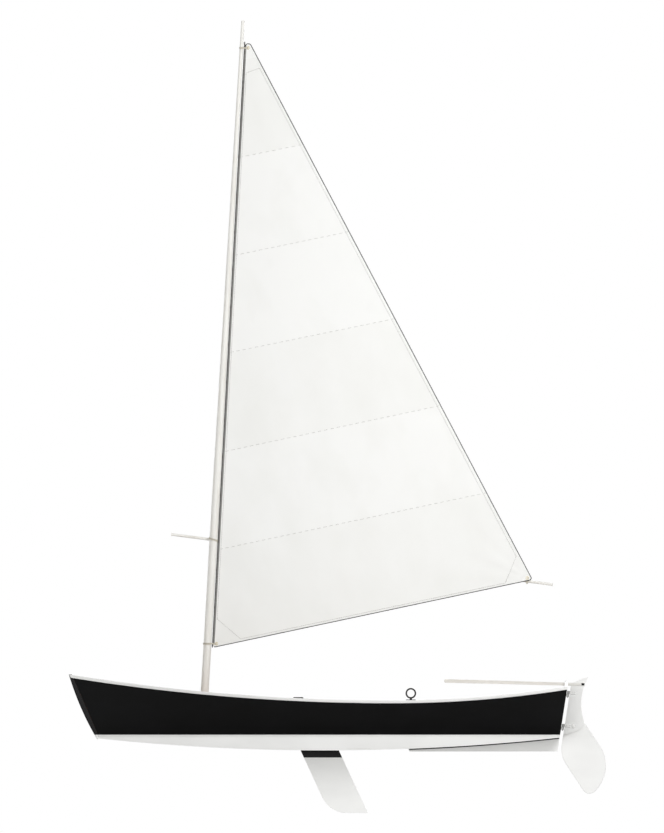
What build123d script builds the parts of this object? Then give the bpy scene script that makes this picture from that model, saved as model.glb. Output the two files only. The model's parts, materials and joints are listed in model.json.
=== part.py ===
"""Sailing dinghy: a flat-bottomed plywood skiff, 4.06 m long, with a sprit-boomed sail.

Frame: +X to the bow, +Y to port, +Z up. The origin is on the waterline plane, on the centreline,
midway along the hull. Lengths are millimetres, angles degrees.
"""

from build123d import *
import math
import os

os.makedirs("parts", exist_ok=True)

# Hull profile: the sheer is two arcs that share their lowest point, the bottom is one arc
sheer_low_x = -600.0
sheer_low_z = 301.0
sheer_fore_radius = 16500.0
sheer_aft_radius = 9200.0
bottom_low_x = -56.0
bottom_low_z = -106.2
bottom_radius = 17580.0
transom_x = -1965.8  # outer face at the waterline
transom_rake = 8.8
stem_x = 1784.0  # where the planks end, at the waterline
stem_rake = 23.35

# Hull plan: half-breadths at the widest station and at the transom
widest_x = -170.0
sheer_half_beam = 650.0
chine_half_beam = 470.0
sheer_half_transom = 500.0
chine_half_transom = 375.0
sheer_straight = 900.0  # straight run of the planks into the stem
chine_straight = 700.0

# Hull scantlings
plank = 9.0
bottom_thickness = 12.0
transom_thickness = 28.0
transom_crown = 62.0
stem_thickness = 26.0
stem_bevel = 8.0
apron_depth = 75.0
rail_width = 18.0
rail_depth = 23.5
rail_short_of_stem = 20.0
inwale_width = 20.0
inwale_depth = 28.0
chine_log_width = 32.0
chine_log_height = 30.0
riser_width = 20.0
riser_height = 30.0
hook_thickness = 22.0
hook_length = 190.0
hook_arm = 34.0
hook_hollow = 97.0
knee_arm = 190.0
knee_end = 28.0
skeg_thickness = 24.0
skeg_depth_z = -114.8
skeg_fore_x = -732.0
skeg_slope = 12.0  # its foot ends this far aft of where it leaves the bottom
skeg_head_z = 15.0  # where its aft edge ends on the transom

# Inside the hull
seat_z = 109.0
seat_thickness = 22.0
centre_seat = (-544.0, -218.0)
stern_seat = (-1935.0, -1590.0)
mast_seat_aft_x = 830.0  # runs forward to the frame
mast_seat_z = 322.0
riser_run = (-1990.0, 330.0)
frame_stations = {"frame_forward": 1012.0, "frame_middle": -555.0, "frame_aft": -1400.0}
frame_thickness = 22.0
frame_side = 48.0
frame_floor = 58.0

# Mast, sail and sprit
mast_x = 945.0  # axis at the waterline
mast_rake = 3.265
mast_diameter = 65.0
mast_head_diameter = 27.0
mast_head_bevel = 6.0
taper_flats = 24  # the taper is planed to this many sides
mast_taper_from = 1935.0
mast_top = 5845.0
mast_heel = -48.0
mast_hole_clearance = 3.0
heel_clearance = 1.0
step_size = (210.0, 120.0)  # its fore end bears on the frame
step_top = 5.0
sprit_diameter = 32.0
sprit_end_bevel = 5.0
sprit_splay = 3.6  # further to starboard at its fore end than where it crosses the mast
clew_gap = 2.0  # between the sail's middle plane and the sprit's surface, less a cloth
sprit_fore_xz = (1196.6, 1653.2)
sprit_aft_xz = (-1908.8, 1243.9)
sail_thickness = 2.0
sail_belly = 120.0
sail_spare = 40.0  # cloth beyond each end of the chord, cut off by the outline
sail_tack = (855.9, 733.0)
sail_head = (592.5, 5662.0)
sail_leech_head = (551.0, 5641.0)
sail_clew = (-1742.0, 1285.0)
luff_rope_diameter = 9.9

# Daggerboard and its trunk; the board's edges are lines leaning forward as they rise
board_rake = 24.915
board_lead_x = 193.0  # leading edge at the waterline
board_trail_x = -119.1
board_thickness = 20.0
board_foot_z = -615.4
board_foot_radius = 215.0
board_head_z = 300.0
board_clearance = 5.5
trunk_wall = 15.0
trunk_post = 34.0
trunk_top = 252.0
cap_thickness = 18.0
cap_overhang = 12.0
bed_log = (28.0, 42.0)
stop_batten = (20.0, 26.0)
handle_length = 84.0
handle_x = 162.0
handle_height = 28.0
handle_width = 26.0
handle_bevel = 5.0
handle_corner = 7.0

# Rudder: everything hangs on a raked pintle axis behind the transom
pintle_offset = 13.0
cheek_thickness = 15.0
core_thickness = 20.0
blade_thickness = 18.0
pivot = (-2079.0, 93.0)
pivot_bolt = 12.0
pivot_washer = (40.0, 3.0)
pivot_nut = (22.0, 6.0)
core_arc_radius = 97.0
blade_kick_up = 80.0
gudgeon_heights = (62.0, 330.0)
gudgeon_height = 24.0
gudgeon_outer = 18.0
gudgeon_arm = 76.0
pintle_pin = 10.0
pin_clearance = 0.4
strap_thickness = 2.5
strap_length = 50.0
pintle_lug_gap = 1.0  # between gudgeon and pintle lug
pintle_tail = 8.0  # the pin's end below its gudgeon
web_share = 0.7  # a web's width as a share of its round eye
rudder_front = 12.5  # front edge of head and blade behind the pintle axis
tiller_fore = (-1025.0, 460.0)
tiller_aft = (-2168.0, 430.0)
tiller_fore_depth = 29.0
tiller_aft_depth = 24.0
tiller_width = 19.4
tiller_nose = 12.0  # radius of its fore end's corners
tiller_strap = (6.0, 22.0)  # thickness and depth of the straps that clasp the rudder head
tiller_strap_z = 433.0
tiller_strap_fore_x = -1998.0
strap_clearance = 0.3
mortise_clearance = 0.3
notch_half_width = 62.0
notch_floor_z = 414.0

# Rowlocks
rowlock_x = -754.0
rowlock_ring_z = 359.0
rowlock_ring_diameter = 74.0  # to the middle of the bar
rowlock_bar = 13.0
rowlock_pin = 12.0
rowlock_collar = 4.0
ring_flats = 24  # sides of the ring, each straight from end to end
ring_bevel = 3.6
rowlock_pin_length = 62.0
socket_plate = (81.0, 5.0)
socket_tube = 24.0
socket_depth = 58.0
socket_corner = 6.0

# Levels below and above the hull, and the room that cutting slabs reach beyond it
level_low = -140.0
level_high = 570.0
cut_room = 190.0
seat_gap = 0.3

SIDES = {"port": 1, "starboard": -1}


def sheer_height(x):
    radius = sheer_fore_radius if x > sheer_low_x else sheer_aft_radius
    return sheer_low_z + radius - math.sqrt(radius**2 - (x - sheer_low_x) ** 2)


def bottom_height(x, lift=0.0):
    radius = bottom_radius - lift
    return bottom_low_z + bottom_radius - math.sqrt(radius**2 - (x - bottom_low_x) ** 2)


def between(z, low, high, low_z, high_z):
    return low + (high - low) * (z - low_z) / (high_z - low_z)


def widest_half(z):
    low_z = bottom_height(widest_x)
    return between(z, chine_half_beam, sheer_half_beam, low_z, sheer_height(widest_x))


def transom_half(z):
    low_z = bottom_height(transom_x)
    return between(z, chine_half_transom, sheer_half_transom, low_z, sheer_height(transom_x))


def transom_at(z):
    return transom_x - z * math.tan(math.radians(transom_rake))


def stem_at(z):
    return stem_x + z * math.tan(math.radians(stem_rake))


past_bow = stem_at(level_high) + cut_room
past_stern = transom_at(level_high) - cut_room
past_side = sheer_half_beam + cut_room


def plan_values(z):
    """Half-breadth, radii and turn of the hull's plan outline at one level."""
    half = widest_half(z)
    straight = between(z, chine_straight, sheer_straight, bottom_low_z, sheer_low_z)
    run = stem_at(z) - widest_x
    drop = half - stem_thickness / 2
    turn = 2 * math.atan(drop / (run + straight))
    fore_radius = (run - straight * math.cos(turn)) / math.sin(turn)
    aft_run = widest_x - transom_at(z)
    aft_drop = half - transom_half(z)
    aft_radius = (aft_run**2 + aft_drop**2) / (2 * aft_drop)
    return half, fore_radius, turn, aft_radius


def half_breadth(x, z, inset=0.0):
    """Half-breadth aft of the widest station, at a height, inside the outer surface by inset."""
    halves = []
    for level in (level_low, level_high):
        half, fore_radius, turn, aft_radius = plan_values(level)
        radius = aft_radius - inset
        halves.append(half - aft_radius + math.sqrt(radius**2 - (x - widest_x) ** 2))
    return between(z, halves[0], halves[1], level_low, level_high)


def hull_form(inset):
    """The hull's outer form, or one inside it, as a solid between two level planes."""
    with BuildPart() as form:
        for level in (level_low, level_high):
            half, fore_radius, turn, aft_radius = plan_values(level)
            start_y = half - inset
            aft_turn = math.asin((widest_x - past_stern) / (aft_radius - inset))
            fore_end_y = start_y - (fore_radius - inset) * (1 - math.cos(turn))
            fore_end_x = widest_x + (fore_radius - inset) * math.sin(turn)
            tip_x = fore_end_x + (fore_end_y - stem_thickness / 2) / math.tan(turn)
            with BuildSketch(Plane.XY.offset(level)):
                with BuildLine():
                    tips = []
                    ends = []
                    for side in SIDES.values():
                        start = (widest_x, side * start_y)
                        fore = JernArc(start, (1, 0), fore_radius - inset, -side * math.degrees(turn))
                        Line(fore @ 1, (tip_x, side * stem_thickness / 2))
                        aft = JernArc(start, (-1, 0), aft_radius - inset, side * math.degrees(aft_turn))
                        tips.append((tip_x, side * stem_thickness / 2))
                        ends.append(aft @ 1)
                    Line(tips[0], tips[1])
                    Line(ends[0], ends[1])
                make_face()
        loft(ruled=True)
    return form.part


def sheer_arcs(drop):
    """The sheer line's two arcs in profile, moved down by drop."""
    start = (sheer_low_x, sheer_low_z - drop)
    fore_radius = sheer_fore_radius + drop
    aft_radius = sheer_aft_radius + drop
    fore_turn = math.degrees(math.asin((past_bow - sheer_low_x) / fore_radius))
    aft_turn = math.degrees(math.asin((sheer_low_x - past_stern) / aft_radius))
    fore = JernArc(start, (1, 0), fore_radius, fore_turn)
    aft = JernArc(start, (-1, 0), aft_radius, -aft_turn)
    return aft, fore


def bottom_arcs(lift):
    """The bottom's arc in profile, moved up by lift, as its aft and fore parts."""
    start = (bottom_low_x, bottom_low_z + lift)
    radius = bottom_radius - lift
    fore_turn = math.degrees(math.asin((past_bow - bottom_low_x) / radius))
    aft_turn = math.degrees(math.asin((bottom_low_x - past_stern) / radius))
    fore = JernArc(start, (1, 0), radius, fore_turn)
    aft = JernArc(start, (-1, 0), radius, -aft_turn)
    return aft, fore


def profile_slab(upper, upper_shift, lower, lower_shift):
    """All of the hull's width between two lines of its profile."""
    with BuildPart() as slab:
        with BuildSketch(Plane.XZ):
            with BuildLine():
                top_aft, top_fore = upper(upper_shift)
                low_aft, low_fore = lower(lower_shift)
                Line(top_aft @ 1, low_aft @ 1)
                Line(top_fore @ 1, low_fore @ 1)
            make_face()
        extrude(amount=past_side, both=True)
    return slab.part


def port_of(y):
    return Plane(origin=(0, y, 0), z_dir=(0, 1, 0))


def station_plane(x, sign):
    return Plane(origin=(x, 0, 0), z_dir=(sign, 0, 0))


transom_plane = Plane(
    origin=(transom_x, 0, 0),
    z_dir=(math.cos(math.radians(transom_rake)), 0, math.sin(math.radians(transom_rake))),
)
stem_plane = Plane(
    origin=(stem_x, 0, 0),
    z_dir=(math.cos(math.radians(stem_rake)), 0, -math.sin(math.radians(stem_rake))),
)
mast_plane = Plane(
    origin=(mast_x, 0, 0),
    z_dir=(-math.sin(math.radians(mast_rake)), 0, math.cos(math.radians(mast_rake))),
)
pintle_plane = Plane(
    origin=(transom_x - pintle_offset / math.cos(math.radians(transom_rake)), 0, 0),
    z_dir=(-math.sin(math.radians(transom_rake)), 0, math.cos(math.radians(transom_rake))),
)

outer_form = hull_form(0)
inner_form = hull_form(plank)
topside_slab = profile_slab(sheer_arcs, 0, bottom_arcs, bottom_thickness)

pieces = {}


def keep(name, builder):
    builder.part.label = name
    pieces[name] = builder.part


def keep_pair(name, port_builder):
    """Keeps a piece of the port side, and its mirror image on the starboard side."""
    keep(f"{name}_port", port_builder)
    with BuildPart() as twin:
        mirror(port_builder.part, about=Plane.XZ)
    keep(f"{name}_starboard", twin)


# Side planks: the outer form less the inner one, ending on the stem's sides
with BuildPart() as side_plank:
    add(outer_form)
    add(inner_form, mode=Mode.SUBTRACT)
    add(topside_slab, mode=Mode.INTERSECT)
    split(bisect_by=transom_plane, keep=Keep.TOP)
    split(bisect_by=port_of(stem_thickness / 2), keep=Keep.TOP)
keep_pair("side_plank", side_plank)

# Board slot: the room that the daggerboard needs through bottom, trunk and cap
board_slope = math.tan(math.radians(board_rake))
edge_clearance = board_clearance / math.cos(math.radians(board_rake))
slot_half = board_thickness / 2 + board_clearance
slot_reach = (-300.0, 500.0)
with BuildPart() as board_slot:
    with BuildSketch(Plane.XZ):
        with BuildLine():
            corners = []
            for z in slot_reach:
                corners.append((board_trail_x - edge_clearance + z * board_slope, z))
                corners.append((board_lead_x + edge_clearance + z * board_slope, z))
            Polyline(corners[0], corners[1], corners[3], corners[2], close=True)
        make_face()
    extrude(amount=slot_half, both=True)

# Bottom: covers the planks' lower edges, with the slot through it
with BuildPart() as bottom_panel:
    add(outer_form)
    add(profile_slab(bottom_arcs, bottom_thickness, bottom_arcs, 0), mode=Mode.INTERSECT)
    split(bisect_by=transom_plane, keep=Keep.TOP)
    add(board_slot.part, mode=Mode.SUBTRACT)
keep("bottom_panel", bottom_panel)

# Outer stem: a strip over the planks' ends, its front edge slightly full
stem_head_z = 513.0
stem_front = ((1799.9, -16.0), (1935.3, 250.0), (2030.5, stem_head_z))
forefoot_radius = 30.0
with BuildPart() as outer_stem:
    with BuildSketch(Plane.XZ):
        with BuildLine():
            front = ThreePointArc(*stem_front)
            foot_z = bottom_height(stem_at(stem_front[0][1]))
            Polyline(
                front @ 1,
                (stem_at(stem_head_z), stem_head_z),
                (stem_at(foot_z), foot_z),
                front @ 0,
            )
        make_face()
    extrude(amount=stem_thickness / 2, both=True)
    front_edges = outer_stem.edges().filter_by(GeomType.CIRCLE)
    chamfer(front_edges, length=stem_bevel)
keep("outer_stem", outer_stem)

# Inner stem: fills between the planks' ends
with BuildPart() as inner_stem:
    add(outer_form)
    add(topside_slab, mode=Mode.INTERSECT)
    split(bisect_by=stem_plane.offset(-apron_depth), keep=Keep.TOP)
    add(pieces["side_plank_port"], mode=Mode.SUBTRACT)
    add(pieces["side_plank_starboard"], mode=Mode.SUBTRACT)
keep("inner_stem", inner_stem)

# Transom: between the planks, crowned above the rails, notched for the tiller
crown_top_z = sheer_height(transom_x) + transom_crown
crown_half = sheer_half_transom
with BuildPart() as crown_prism:
    with BuildSketch(Plane.YZ.offset(past_stern)):
        with BuildLine():
            crown = ThreePointArc(
                (-crown_half, crown_top_z - transom_crown),
                (0, crown_top_z),
                (crown_half, crown_top_z - transom_crown),
            )
            Polyline(crown @ 1, (crown_half, level_low), (-crown_half, level_low), crown @ 0)
        make_face()
        with Locations((0, crown_top_z)):
            Rectangle(2 * notch_half_width, 2 * (crown_top_z - notch_floor_z), mode=Mode.SUBTRACT)
    extrude(amount=past_side)

with BuildPart() as transom:
    add(inner_form)
    add(profile_slab(sheer_arcs, -2 * transom_crown, bottom_arcs, bottom_thickness), mode=Mode.INTERSECT)
    split(bisect_by=transom_plane, keep=Keep.TOP)
    split(bisect_by=transom_plane.offset(transom_thickness), keep=Keep.BOTTOM)
    add(crown_prism.part, mode=Mode.INTERSECT)
keep("transom", transom)

# Skeg: level below, in line with the transom aft
with BuildPart() as skeg:
    with BuildSketch(Plane.XZ):
        with BuildLine():
            Polyline(
                (transom_at(skeg_depth_z), skeg_depth_z),
                (skeg_fore_x - skeg_slope, skeg_depth_z),
                (skeg_fore_x, bottom_height(skeg_fore_x) - seat_gap),
                (skeg_fore_x, skeg_head_z),
                (transom_at(skeg_head_z), skeg_head_z),
                close=True,
            )
        make_face()
    extrude(amount=skeg_thickness / 2, both=True)
    with BuildSketch(Plane.XZ):
        with BuildLine():
            low_aft, low_fore = bottom_arcs(0)
            Line(low_aft @ 1, low_fore @ 1)
        make_face()
    extrude(amount=past_side, both=True, mode=Mode.SUBTRACT)
keep("skeg", skeg)

# Chine logs, rub rails, inwales and seat risers: strips along the planks
rail_form = hull_form(-rail_width)
log_form = hull_form(plank + chine_log_width)
inwale_form = hull_form(plank + inwale_width)
riser_form = hull_form(plank + riser_width)
log_slab = profile_slab(bottom_arcs, bottom_thickness + chine_log_height, bottom_arcs, bottom_thickness)
rail_slab = profile_slab(sheer_arcs, 0, sheer_arcs, rail_depth)
inwale_slab = profile_slab(sheer_arcs, 0, sheer_arcs, inwale_depth)
inside_transom = transom_plane.offset(transom_thickness)
inside_stem = stem_plane.offset(-apron_depth)

with BuildPart() as chine_log:
    add(inner_form)
    add(log_form, mode=Mode.SUBTRACT)
    add(log_slab, mode=Mode.INTERSECT)
    split(bisect_by=inside_transom, keep=Keep.TOP)
    split(bisect_by=inside_stem, keep=Keep.BOTTOM)
    split(bisect_by=port_of(0), keep=Keep.TOP)
keep_pair("chine_log", chine_log)

with BuildPart() as rub_rail:
    add(rail_form)
    add(outer_form, mode=Mode.SUBTRACT)
    add(rail_slab, mode=Mode.INTERSECT)
    split(bisect_by=transom_plane, keep=Keep.TOP)
    split(bisect_by=stem_plane.offset(rail_short_of_stem), keep=Keep.BOTTOM)
    split(bisect_by=port_of(stem_thickness / 2), keep=Keep.TOP)
keep_pair("rub_rail", rub_rail)

with BuildPart() as inwale:
    add(inner_form)
    add(inwale_form, mode=Mode.SUBTRACT)
    add(inwale_slab, mode=Mode.INTERSECT)
    split(bisect_by=inside_transom, keep=Keep.TOP)
    split(bisect_by=inside_stem, keep=Keep.BOTTOM)
    split(bisect_by=port_of(0), keep=Keep.TOP)
keep_pair("inwale", inwale)

riser_top = seat_z - seat_thickness
with BuildPart() as riser:
    add(inner_form)
    add(riser_form, mode=Mode.SUBTRACT)
    split(bisect_by=Plane.XY.offset(riser_top), keep=Keep.BOTTOM)
    split(bisect_by=Plane.XY.offset(riser_top - riser_height), keep=Keep.TOP)
    split(bisect_by=inside_transom, keep=Keep.TOP)
    split(bisect_by=station_plane(riser_run[1], -1), keep=Keep.TOP)
    split(bisect_by=port_of(0), keep=Keep.TOP)
keep_pair("seat_riser", riser)

# Breasthook: between the inwales behind the inner stem, its aft edge hollow
hook_run = (apron_depth + hook_length) / math.cos(math.radians(stem_rake))
hook_z = sheer_height(stem_x)
hook_aft_x = stem_at(hook_z) - hook_run
hook_turn = plan_values(hook_z)[2]
hook_inset = (plank + inwale_width) / math.cos(hook_turn)
hook_aft_half = stem_thickness / 2 + hook_run * math.tan(hook_turn) - hook_inset
with BuildPart() as breasthook:
    add(inwale_form)
    add(profile_slab(sheer_arcs, 0, sheer_arcs, hook_thickness), mode=Mode.INTERSECT)
    split(bisect_by=inside_stem, keep=Keep.BOTTOM)
    split(bisect_by=inside_stem.offset(-hook_length), keep=Keep.TOP)
    with BuildSketch(Plane.XY):
        with Locations((hook_aft_x, 0)):
            Ellipse(hook_hollow, hook_aft_half - hook_arm)
    extrude(amount=level_high, mode=Mode.SUBTRACT)
keep("breasthook", breasthook)

# Quarter knees: one in each aft corner, hollow on the inside
knee_corner_x = transom_at(sheer_height(transom_x)) + transom_thickness
knee_corner_y = half_breadth(knee_corner_x, sheer_height(knee_corner_x), plank + inwale_width)
with BuildPart() as quarter_knees:
    with BuildSketch(Plane.XY):
        for side in SIDES.values():
            with Locations((knee_corner_x, side * knee_corner_y)):
                Rectangle(2 * knee_arm, 2 * knee_arm)
            with Locations((knee_corner_x + knee_arm, side * (knee_corner_y - knee_arm))):
                Circle(knee_arm - knee_end, mode=Mode.SUBTRACT)
    extrude(amount=level_high)
    add(inwale_form, mode=Mode.INTERSECT)
    add(profile_slab(sheer_arcs, 0, sheer_arcs, hook_thickness), mode=Mode.INTERSECT)
    split(bisect_by=inside_transom, keep=Keep.TOP)
keep("quarter_knees", quarter_knees)

# Frames: a floor and two sides each, notched over chine logs and risers
frame_room_form = hull_form(plank + frame_side)
frame_slab = profile_slab(sheer_arcs, inwale_depth, bottom_arcs, bottom_thickness)
frame_room_slab = profile_slab(sheer_arcs, 0, bottom_arcs, bottom_thickness + frame_floor)
with BuildPart() as frame_room:
    add(frame_room_form)
    add(frame_room_slab, mode=Mode.INTERSECT)
for frame_name, station in frame_stations.items():
    with BuildPart() as hull_frame:
        add(inner_form)
        split(bisect_by=station_plane(station - frame_thickness / 2, 1), keep=Keep.TOP)
        split(bisect_by=station_plane(station + frame_thickness / 2, 1), keep=Keep.BOTTOM)
        add(frame_slab, mode=Mode.INTERSECT)
        add(frame_room.part, mode=Mode.SUBTRACT)
        for hand in SIDES:
            add(pieces[f"chine_log_{hand}"], mode=Mode.SUBTRACT)
            add(pieces[f"seat_riser_{hand}"], mode=Mode.SUBTRACT)
    keep(frame_name, hull_frame)

# Thwarts: boards that reach from plank to plank
frame_face_x = frame_stations["frame_forward"] - frame_thickness / 2
for seat_name, seat_run, top_z in (
    ("centre_thwart", centre_seat, seat_z),
    ("stern_thwart", stern_seat, seat_z),
    ("mast_thwart", (mast_seat_aft_x, frame_face_x), mast_seat_z),
):
    with BuildPart() as thwart:
        add(inner_form)
        split(bisect_by=Plane.XY.offset(top_z), keep=Keep.BOTTOM)
        split(bisect_by=Plane.XY.offset(top_z - seat_thickness), keep=Keep.TOP)
        split(bisect_by=station_plane(seat_run[0], 1), keep=Keep.TOP)
        split(bisect_by=station_plane(seat_run[1], 1), keep=Keep.BOTTOM)
        if seat_name == "mast_thwart":
            with BuildSketch(mast_plane):
                Circle(mast_diameter / 2 + mast_hole_clearance)
            extrude(amount=mast_taper_from, mode=Mode.SUBTRACT)
    keep(seat_name, thwart)

# Mast step: a block on the bottom with a round hole for the heel
with BuildPart() as mast_step:
    with BuildSketch(Plane.XY.offset(level_low)):
        with Locations((frame_face_x - step_size[0] / 2, 0)):
            Rectangle(*step_size)
    extrude(amount=step_top - level_low)
    add(topside_slab, mode=Mode.INTERSECT)
    with BuildSketch(mast_plane.offset(mast_heel - seat_gap)):
        Circle(mast_diameter / 2 + heel_clearance)
    extrude(amount=-mast_heel + 2 * step_top, mode=Mode.SUBTRACT)
keep("mast_step", mast_step)

# Daggerboard trunk: two posts in the slot's ends, a cheek each side, a cap on top
post_step = trunk_post / math.cos(math.radians(board_rake))
fore_face = board_lead_x + edge_clearance
aft_face = board_trail_x - edge_clearance


def raked_sketch(aft_x, fore_x, low_z, high_z):
    """A region in profile between two lines that lean like the board."""
    with BuildSketch(Plane.XZ) as region:
        with BuildLine():
            Polyline(
                (aft_x + low_z * board_slope, low_z),
                (fore_x + low_z * board_slope, low_z),
                (fore_x + high_z * board_slope, high_z),
                (aft_x + high_z * board_slope, high_z),
                close=True,
            )
        make_face()
    return region.sketch


for post_name, post_aft, post_fore in (
    ("trunk_post_forward", fore_face, fore_face + post_step),
    ("trunk_post_aft", aft_face - post_step, aft_face),
):
    with BuildPart() as post:
        extrude(raked_sketch(post_aft, post_fore, level_low, trunk_top), amount=slot_half, both=True)
        add(topside_slab, mode=Mode.INTERSECT)
    keep(post_name, post)

with BuildPart() as cheek:
    cheek_side = raked_sketch(aft_face - post_step, fore_face + post_step, level_low, trunk_top)
    extrude(cheek_side, amount=slot_half + trunk_wall, both=True)
    log_top = bottom_low_z + bottom_thickness + bed_log[1]
    log_side = raked_sketch(aft_face - post_step, fore_face + post_step, level_low, log_top)
    extrude(log_side, amount=slot_half + trunk_wall + bed_log[0], both=True)
    add(topside_slab, mode=Mode.INTERSECT)
    split(bisect_by=port_of(slot_half), keep=Keep.TOP)
keep_pair("trunk_cheek", cheek)

with BuildPart() as trunk_cap:
    cap_side = raked_sketch(
        aft_face - post_step - cap_overhang,
        fore_face + post_step + cap_overhang,
        trunk_top,
        trunk_top + cap_thickness,
    )
    extrude(cap_side, amount=slot_half + trunk_wall + cap_overhang, both=True)
    add(board_slot.part, mode=Mode.SUBTRACT)
keep("trunk_cap", trunk_cap)

# Daggerboard: rounded at its leading foot, with stop battens and a handle at its head
batten_low = trunk_top + cap_thickness + seat_gap
with BuildPart() as daggerboard:
    board_side = raked_sketch(board_trail_x, board_lead_x, board_foot_z, board_head_z)
    extrude(board_side, amount=board_thickness / 2, both=True)
    foot_corner = daggerboard.edges().filter_by(Axis.Y).group_by(Axis.Z)[0].sort_by(Axis.X)[-1]
    fillet(foot_corner, radius=board_foot_radius)
    batten_side = raked_sketch(board_trail_x, board_lead_x, batten_low, batten_low + stop_batten[1])
    extrude(batten_side, amount=board_thickness / 2 + stop_batten[0], both=True)
keep("daggerboard", daggerboard)

with BuildPart() as board_handle:
    with BuildSketch(Plane.XY.offset(board_head_z)):
        with Locations((handle_x, 0)):
            Rectangle(handle_length, handle_width)
    extrude(amount=handle_height)
    chamfer(board_handle.edges().filter_by(Axis.Z), length=handle_corner)
    chamfer(board_handle.faces().sort_by(Axis.Z)[-1].edges(), length=handle_bevel)
keep("board_handle", board_handle)

# Mast: round to above the sprit, then an even taper to the head
with BuildPart() as mast:
    with BuildSketch(mast_plane.offset(mast_heel)):
        Circle(mast_diameter / 2)
    extrude(amount=mast_taper_from - mast_heel)
    for height, diameter in ((mast_taper_from, mast_diameter), (mast_top, mast_head_diameter)):
        with BuildSketch(mast_plane.offset(height)):
            RegularPolygon(diameter / 2, taper_flats)
    loft(ruled=True)
    chamfer(mast.faces().sort_by(Axis.Z)[-1].edges(), length=mast_head_bevel)
keep("mast", mast)

# Sprit: a round spar on the starboard side of mast and sail
sprit_fore_y = -(mast_diameter + sprit_diameter) / 2 - seat_gap - sprit_splay
sprit_aft_y = -sprit_diameter / 2 - sail_thickness - clew_gap
sprit_fore = Vector(sprit_fore_xz[0], sprit_fore_y, sprit_fore_xz[1])
sprit_path = Vector(sprit_aft_xz[0], sprit_aft_y, sprit_aft_xz[1]) - sprit_fore
sprit_plane = Plane(origin=sprit_fore, z_dir=sprit_path)
with BuildPart() as sprit:
    with BuildSketch(sprit_plane):
        Circle(sprit_diameter / 2)
    extrude(amount=sprit_path.length)
    chamfer(sprit.edges().filter_by(GeomType.CIRCLE), length=sprit_end_bevel)
keep("sprit", sprit)

# Sail: a cloth curved like a cylinder along the luff, cut to its outline in profile
luff = Vector(sail_head[0] - sail_tack[0], 0, sail_head[1] - sail_tack[1])
chord_plane = Plane(origin=(sail_tack[0], 0, sail_tack[1]), z_dir=luff, x_dir=(-luff.Z, 0, luff.X))
sail_chord = (chord_plane.to_local_coords(Vector(sail_clew[0], 0, sail_clew[1]))).X
port = chord_plane.y_dir.Y
sail_radius = (sail_chord**2 / 4 + sail_belly**2) / (2 * sail_belly)
sail_ends = (-sail_spare, sail_chord + sail_spare)


def sail_arc(thickness):
    """The cloth's curve across the luff, bulging to port, with a little to spare at each end."""
    sag = sail_radius - math.sqrt(sail_radius**2 - (sail_chord / 2 + sail_spare) ** 2)
    end_y = port * (sail_belly - thickness - sag)
    middle = (sail_chord / 2, port * (sail_belly - thickness))
    return ThreePointArc((sail_ends[0], end_y), middle, (sail_ends[1], end_y))


with BuildPart() as sail:
    with BuildSketch(chord_plane.offset(-past_side)):
        with BuildLine():
            outer_arc = sail_arc(-sail_thickness / 2)
            inner_arc = sail_arc(sail_thickness / 2)
            Line(outer_arc @ 0, inner_arc @ 0)
            Line(outer_arc @ 1, inner_arc @ 1)
        make_face()
    extrude(amount=luff.length + 2 * past_side)
    with BuildSketch(Plane.XZ):
        with BuildLine():
            Polyline(sail_tack, sail_clew, sail_leech_head, sail_head, close=True)
        make_face()
    extrude(amount=past_side, both=True, mode=Mode.INTERSECT)
keep("sail", sail)

luff_plane = Plane(origin=(sail_tack[0] + luff_rope_diameter / 2 + seat_gap, 0, sail_tack[1]), z_dir=luff)
with BuildPart() as luff_rope:
    with BuildSketch(luff_plane):
        Circle(luff_rope_diameter / 2)
    extrude(amount=luff.length)
keep("luff_rope", luff_rope)

# Rudder head: two cheeks on a core, with the tiller between them
def rudder_front_at(z):
    offset = (pintle_offset + rudder_front) / math.cos(math.radians(transom_rake))
    return transom_at(z) - offset


head_foot_z = 21.0
head_brow_z = 424.0
head_outline = (
    (rudder_front_at(head_foot_z), head_foot_z),
    (rudder_front_at(head_brow_z), head_brow_z),
    (-2074.0, 447.0),
    (-2119.0, 464.0),
    (-2151.0, 481.0),
    (-2196.0, 489.0),
    (-2178.0, 447.0),
    (-2165.0, 414.0),
)
head_waist = (-2141.3, 284.0)
head_heel = (-2165.0, 125.0)
head_toe = ((-2153.0, 89.0), (-2117.0, 57.0), (-2058.0, 38.0))


def head_sketch():
    with BuildSketch(Plane.XZ) as region:
        with BuildLine():
            front = Polyline(*head_outline)
            back = ThreePointArc(front @ 1, head_waist, head_heel)
            Polyline(back @ 1, *head_toe, front @ 0)
        make_face()
    return region.sketch


def tiller_sketch(clearance):
    """The tiller's side, deeper forward, grown all round by a clearance."""
    with BuildSketch(Plane.XZ) as region:
        with BuildLine():
            fore_half = tiller_fore_depth / 2 + clearance
            aft_half = tiller_aft_depth / 2 + clearance
            Polyline(
                (tiller_fore[0] + clearance, tiller_fore[1] + fore_half),
                (tiller_aft[0] - clearance, tiller_aft[1] + aft_half),
                (tiller_aft[0] - clearance, tiller_aft[1] - aft_half),
                (tiller_fore[0] + clearance, tiller_fore[1] - fore_half),
                close=True,
            )
        make_face()
    return region.sketch


with BuildPart() as rudder_cheek:
    extrude(head_sketch(), amount=core_thickness / 2 + cheek_thickness, both=True)
    split(bisect_by=port_of(core_thickness / 2), keep=Keep.TOP)
    with BuildSketch(Plane.XZ):
        with Locations(pivot):
            Circle(pivot_bolt / 2 + pin_clearance / 2)
    extrude(amount=past_side, both=True, mode=Mode.SUBTRACT)
keep_pair("rudder_cheek", rudder_cheek)

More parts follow.
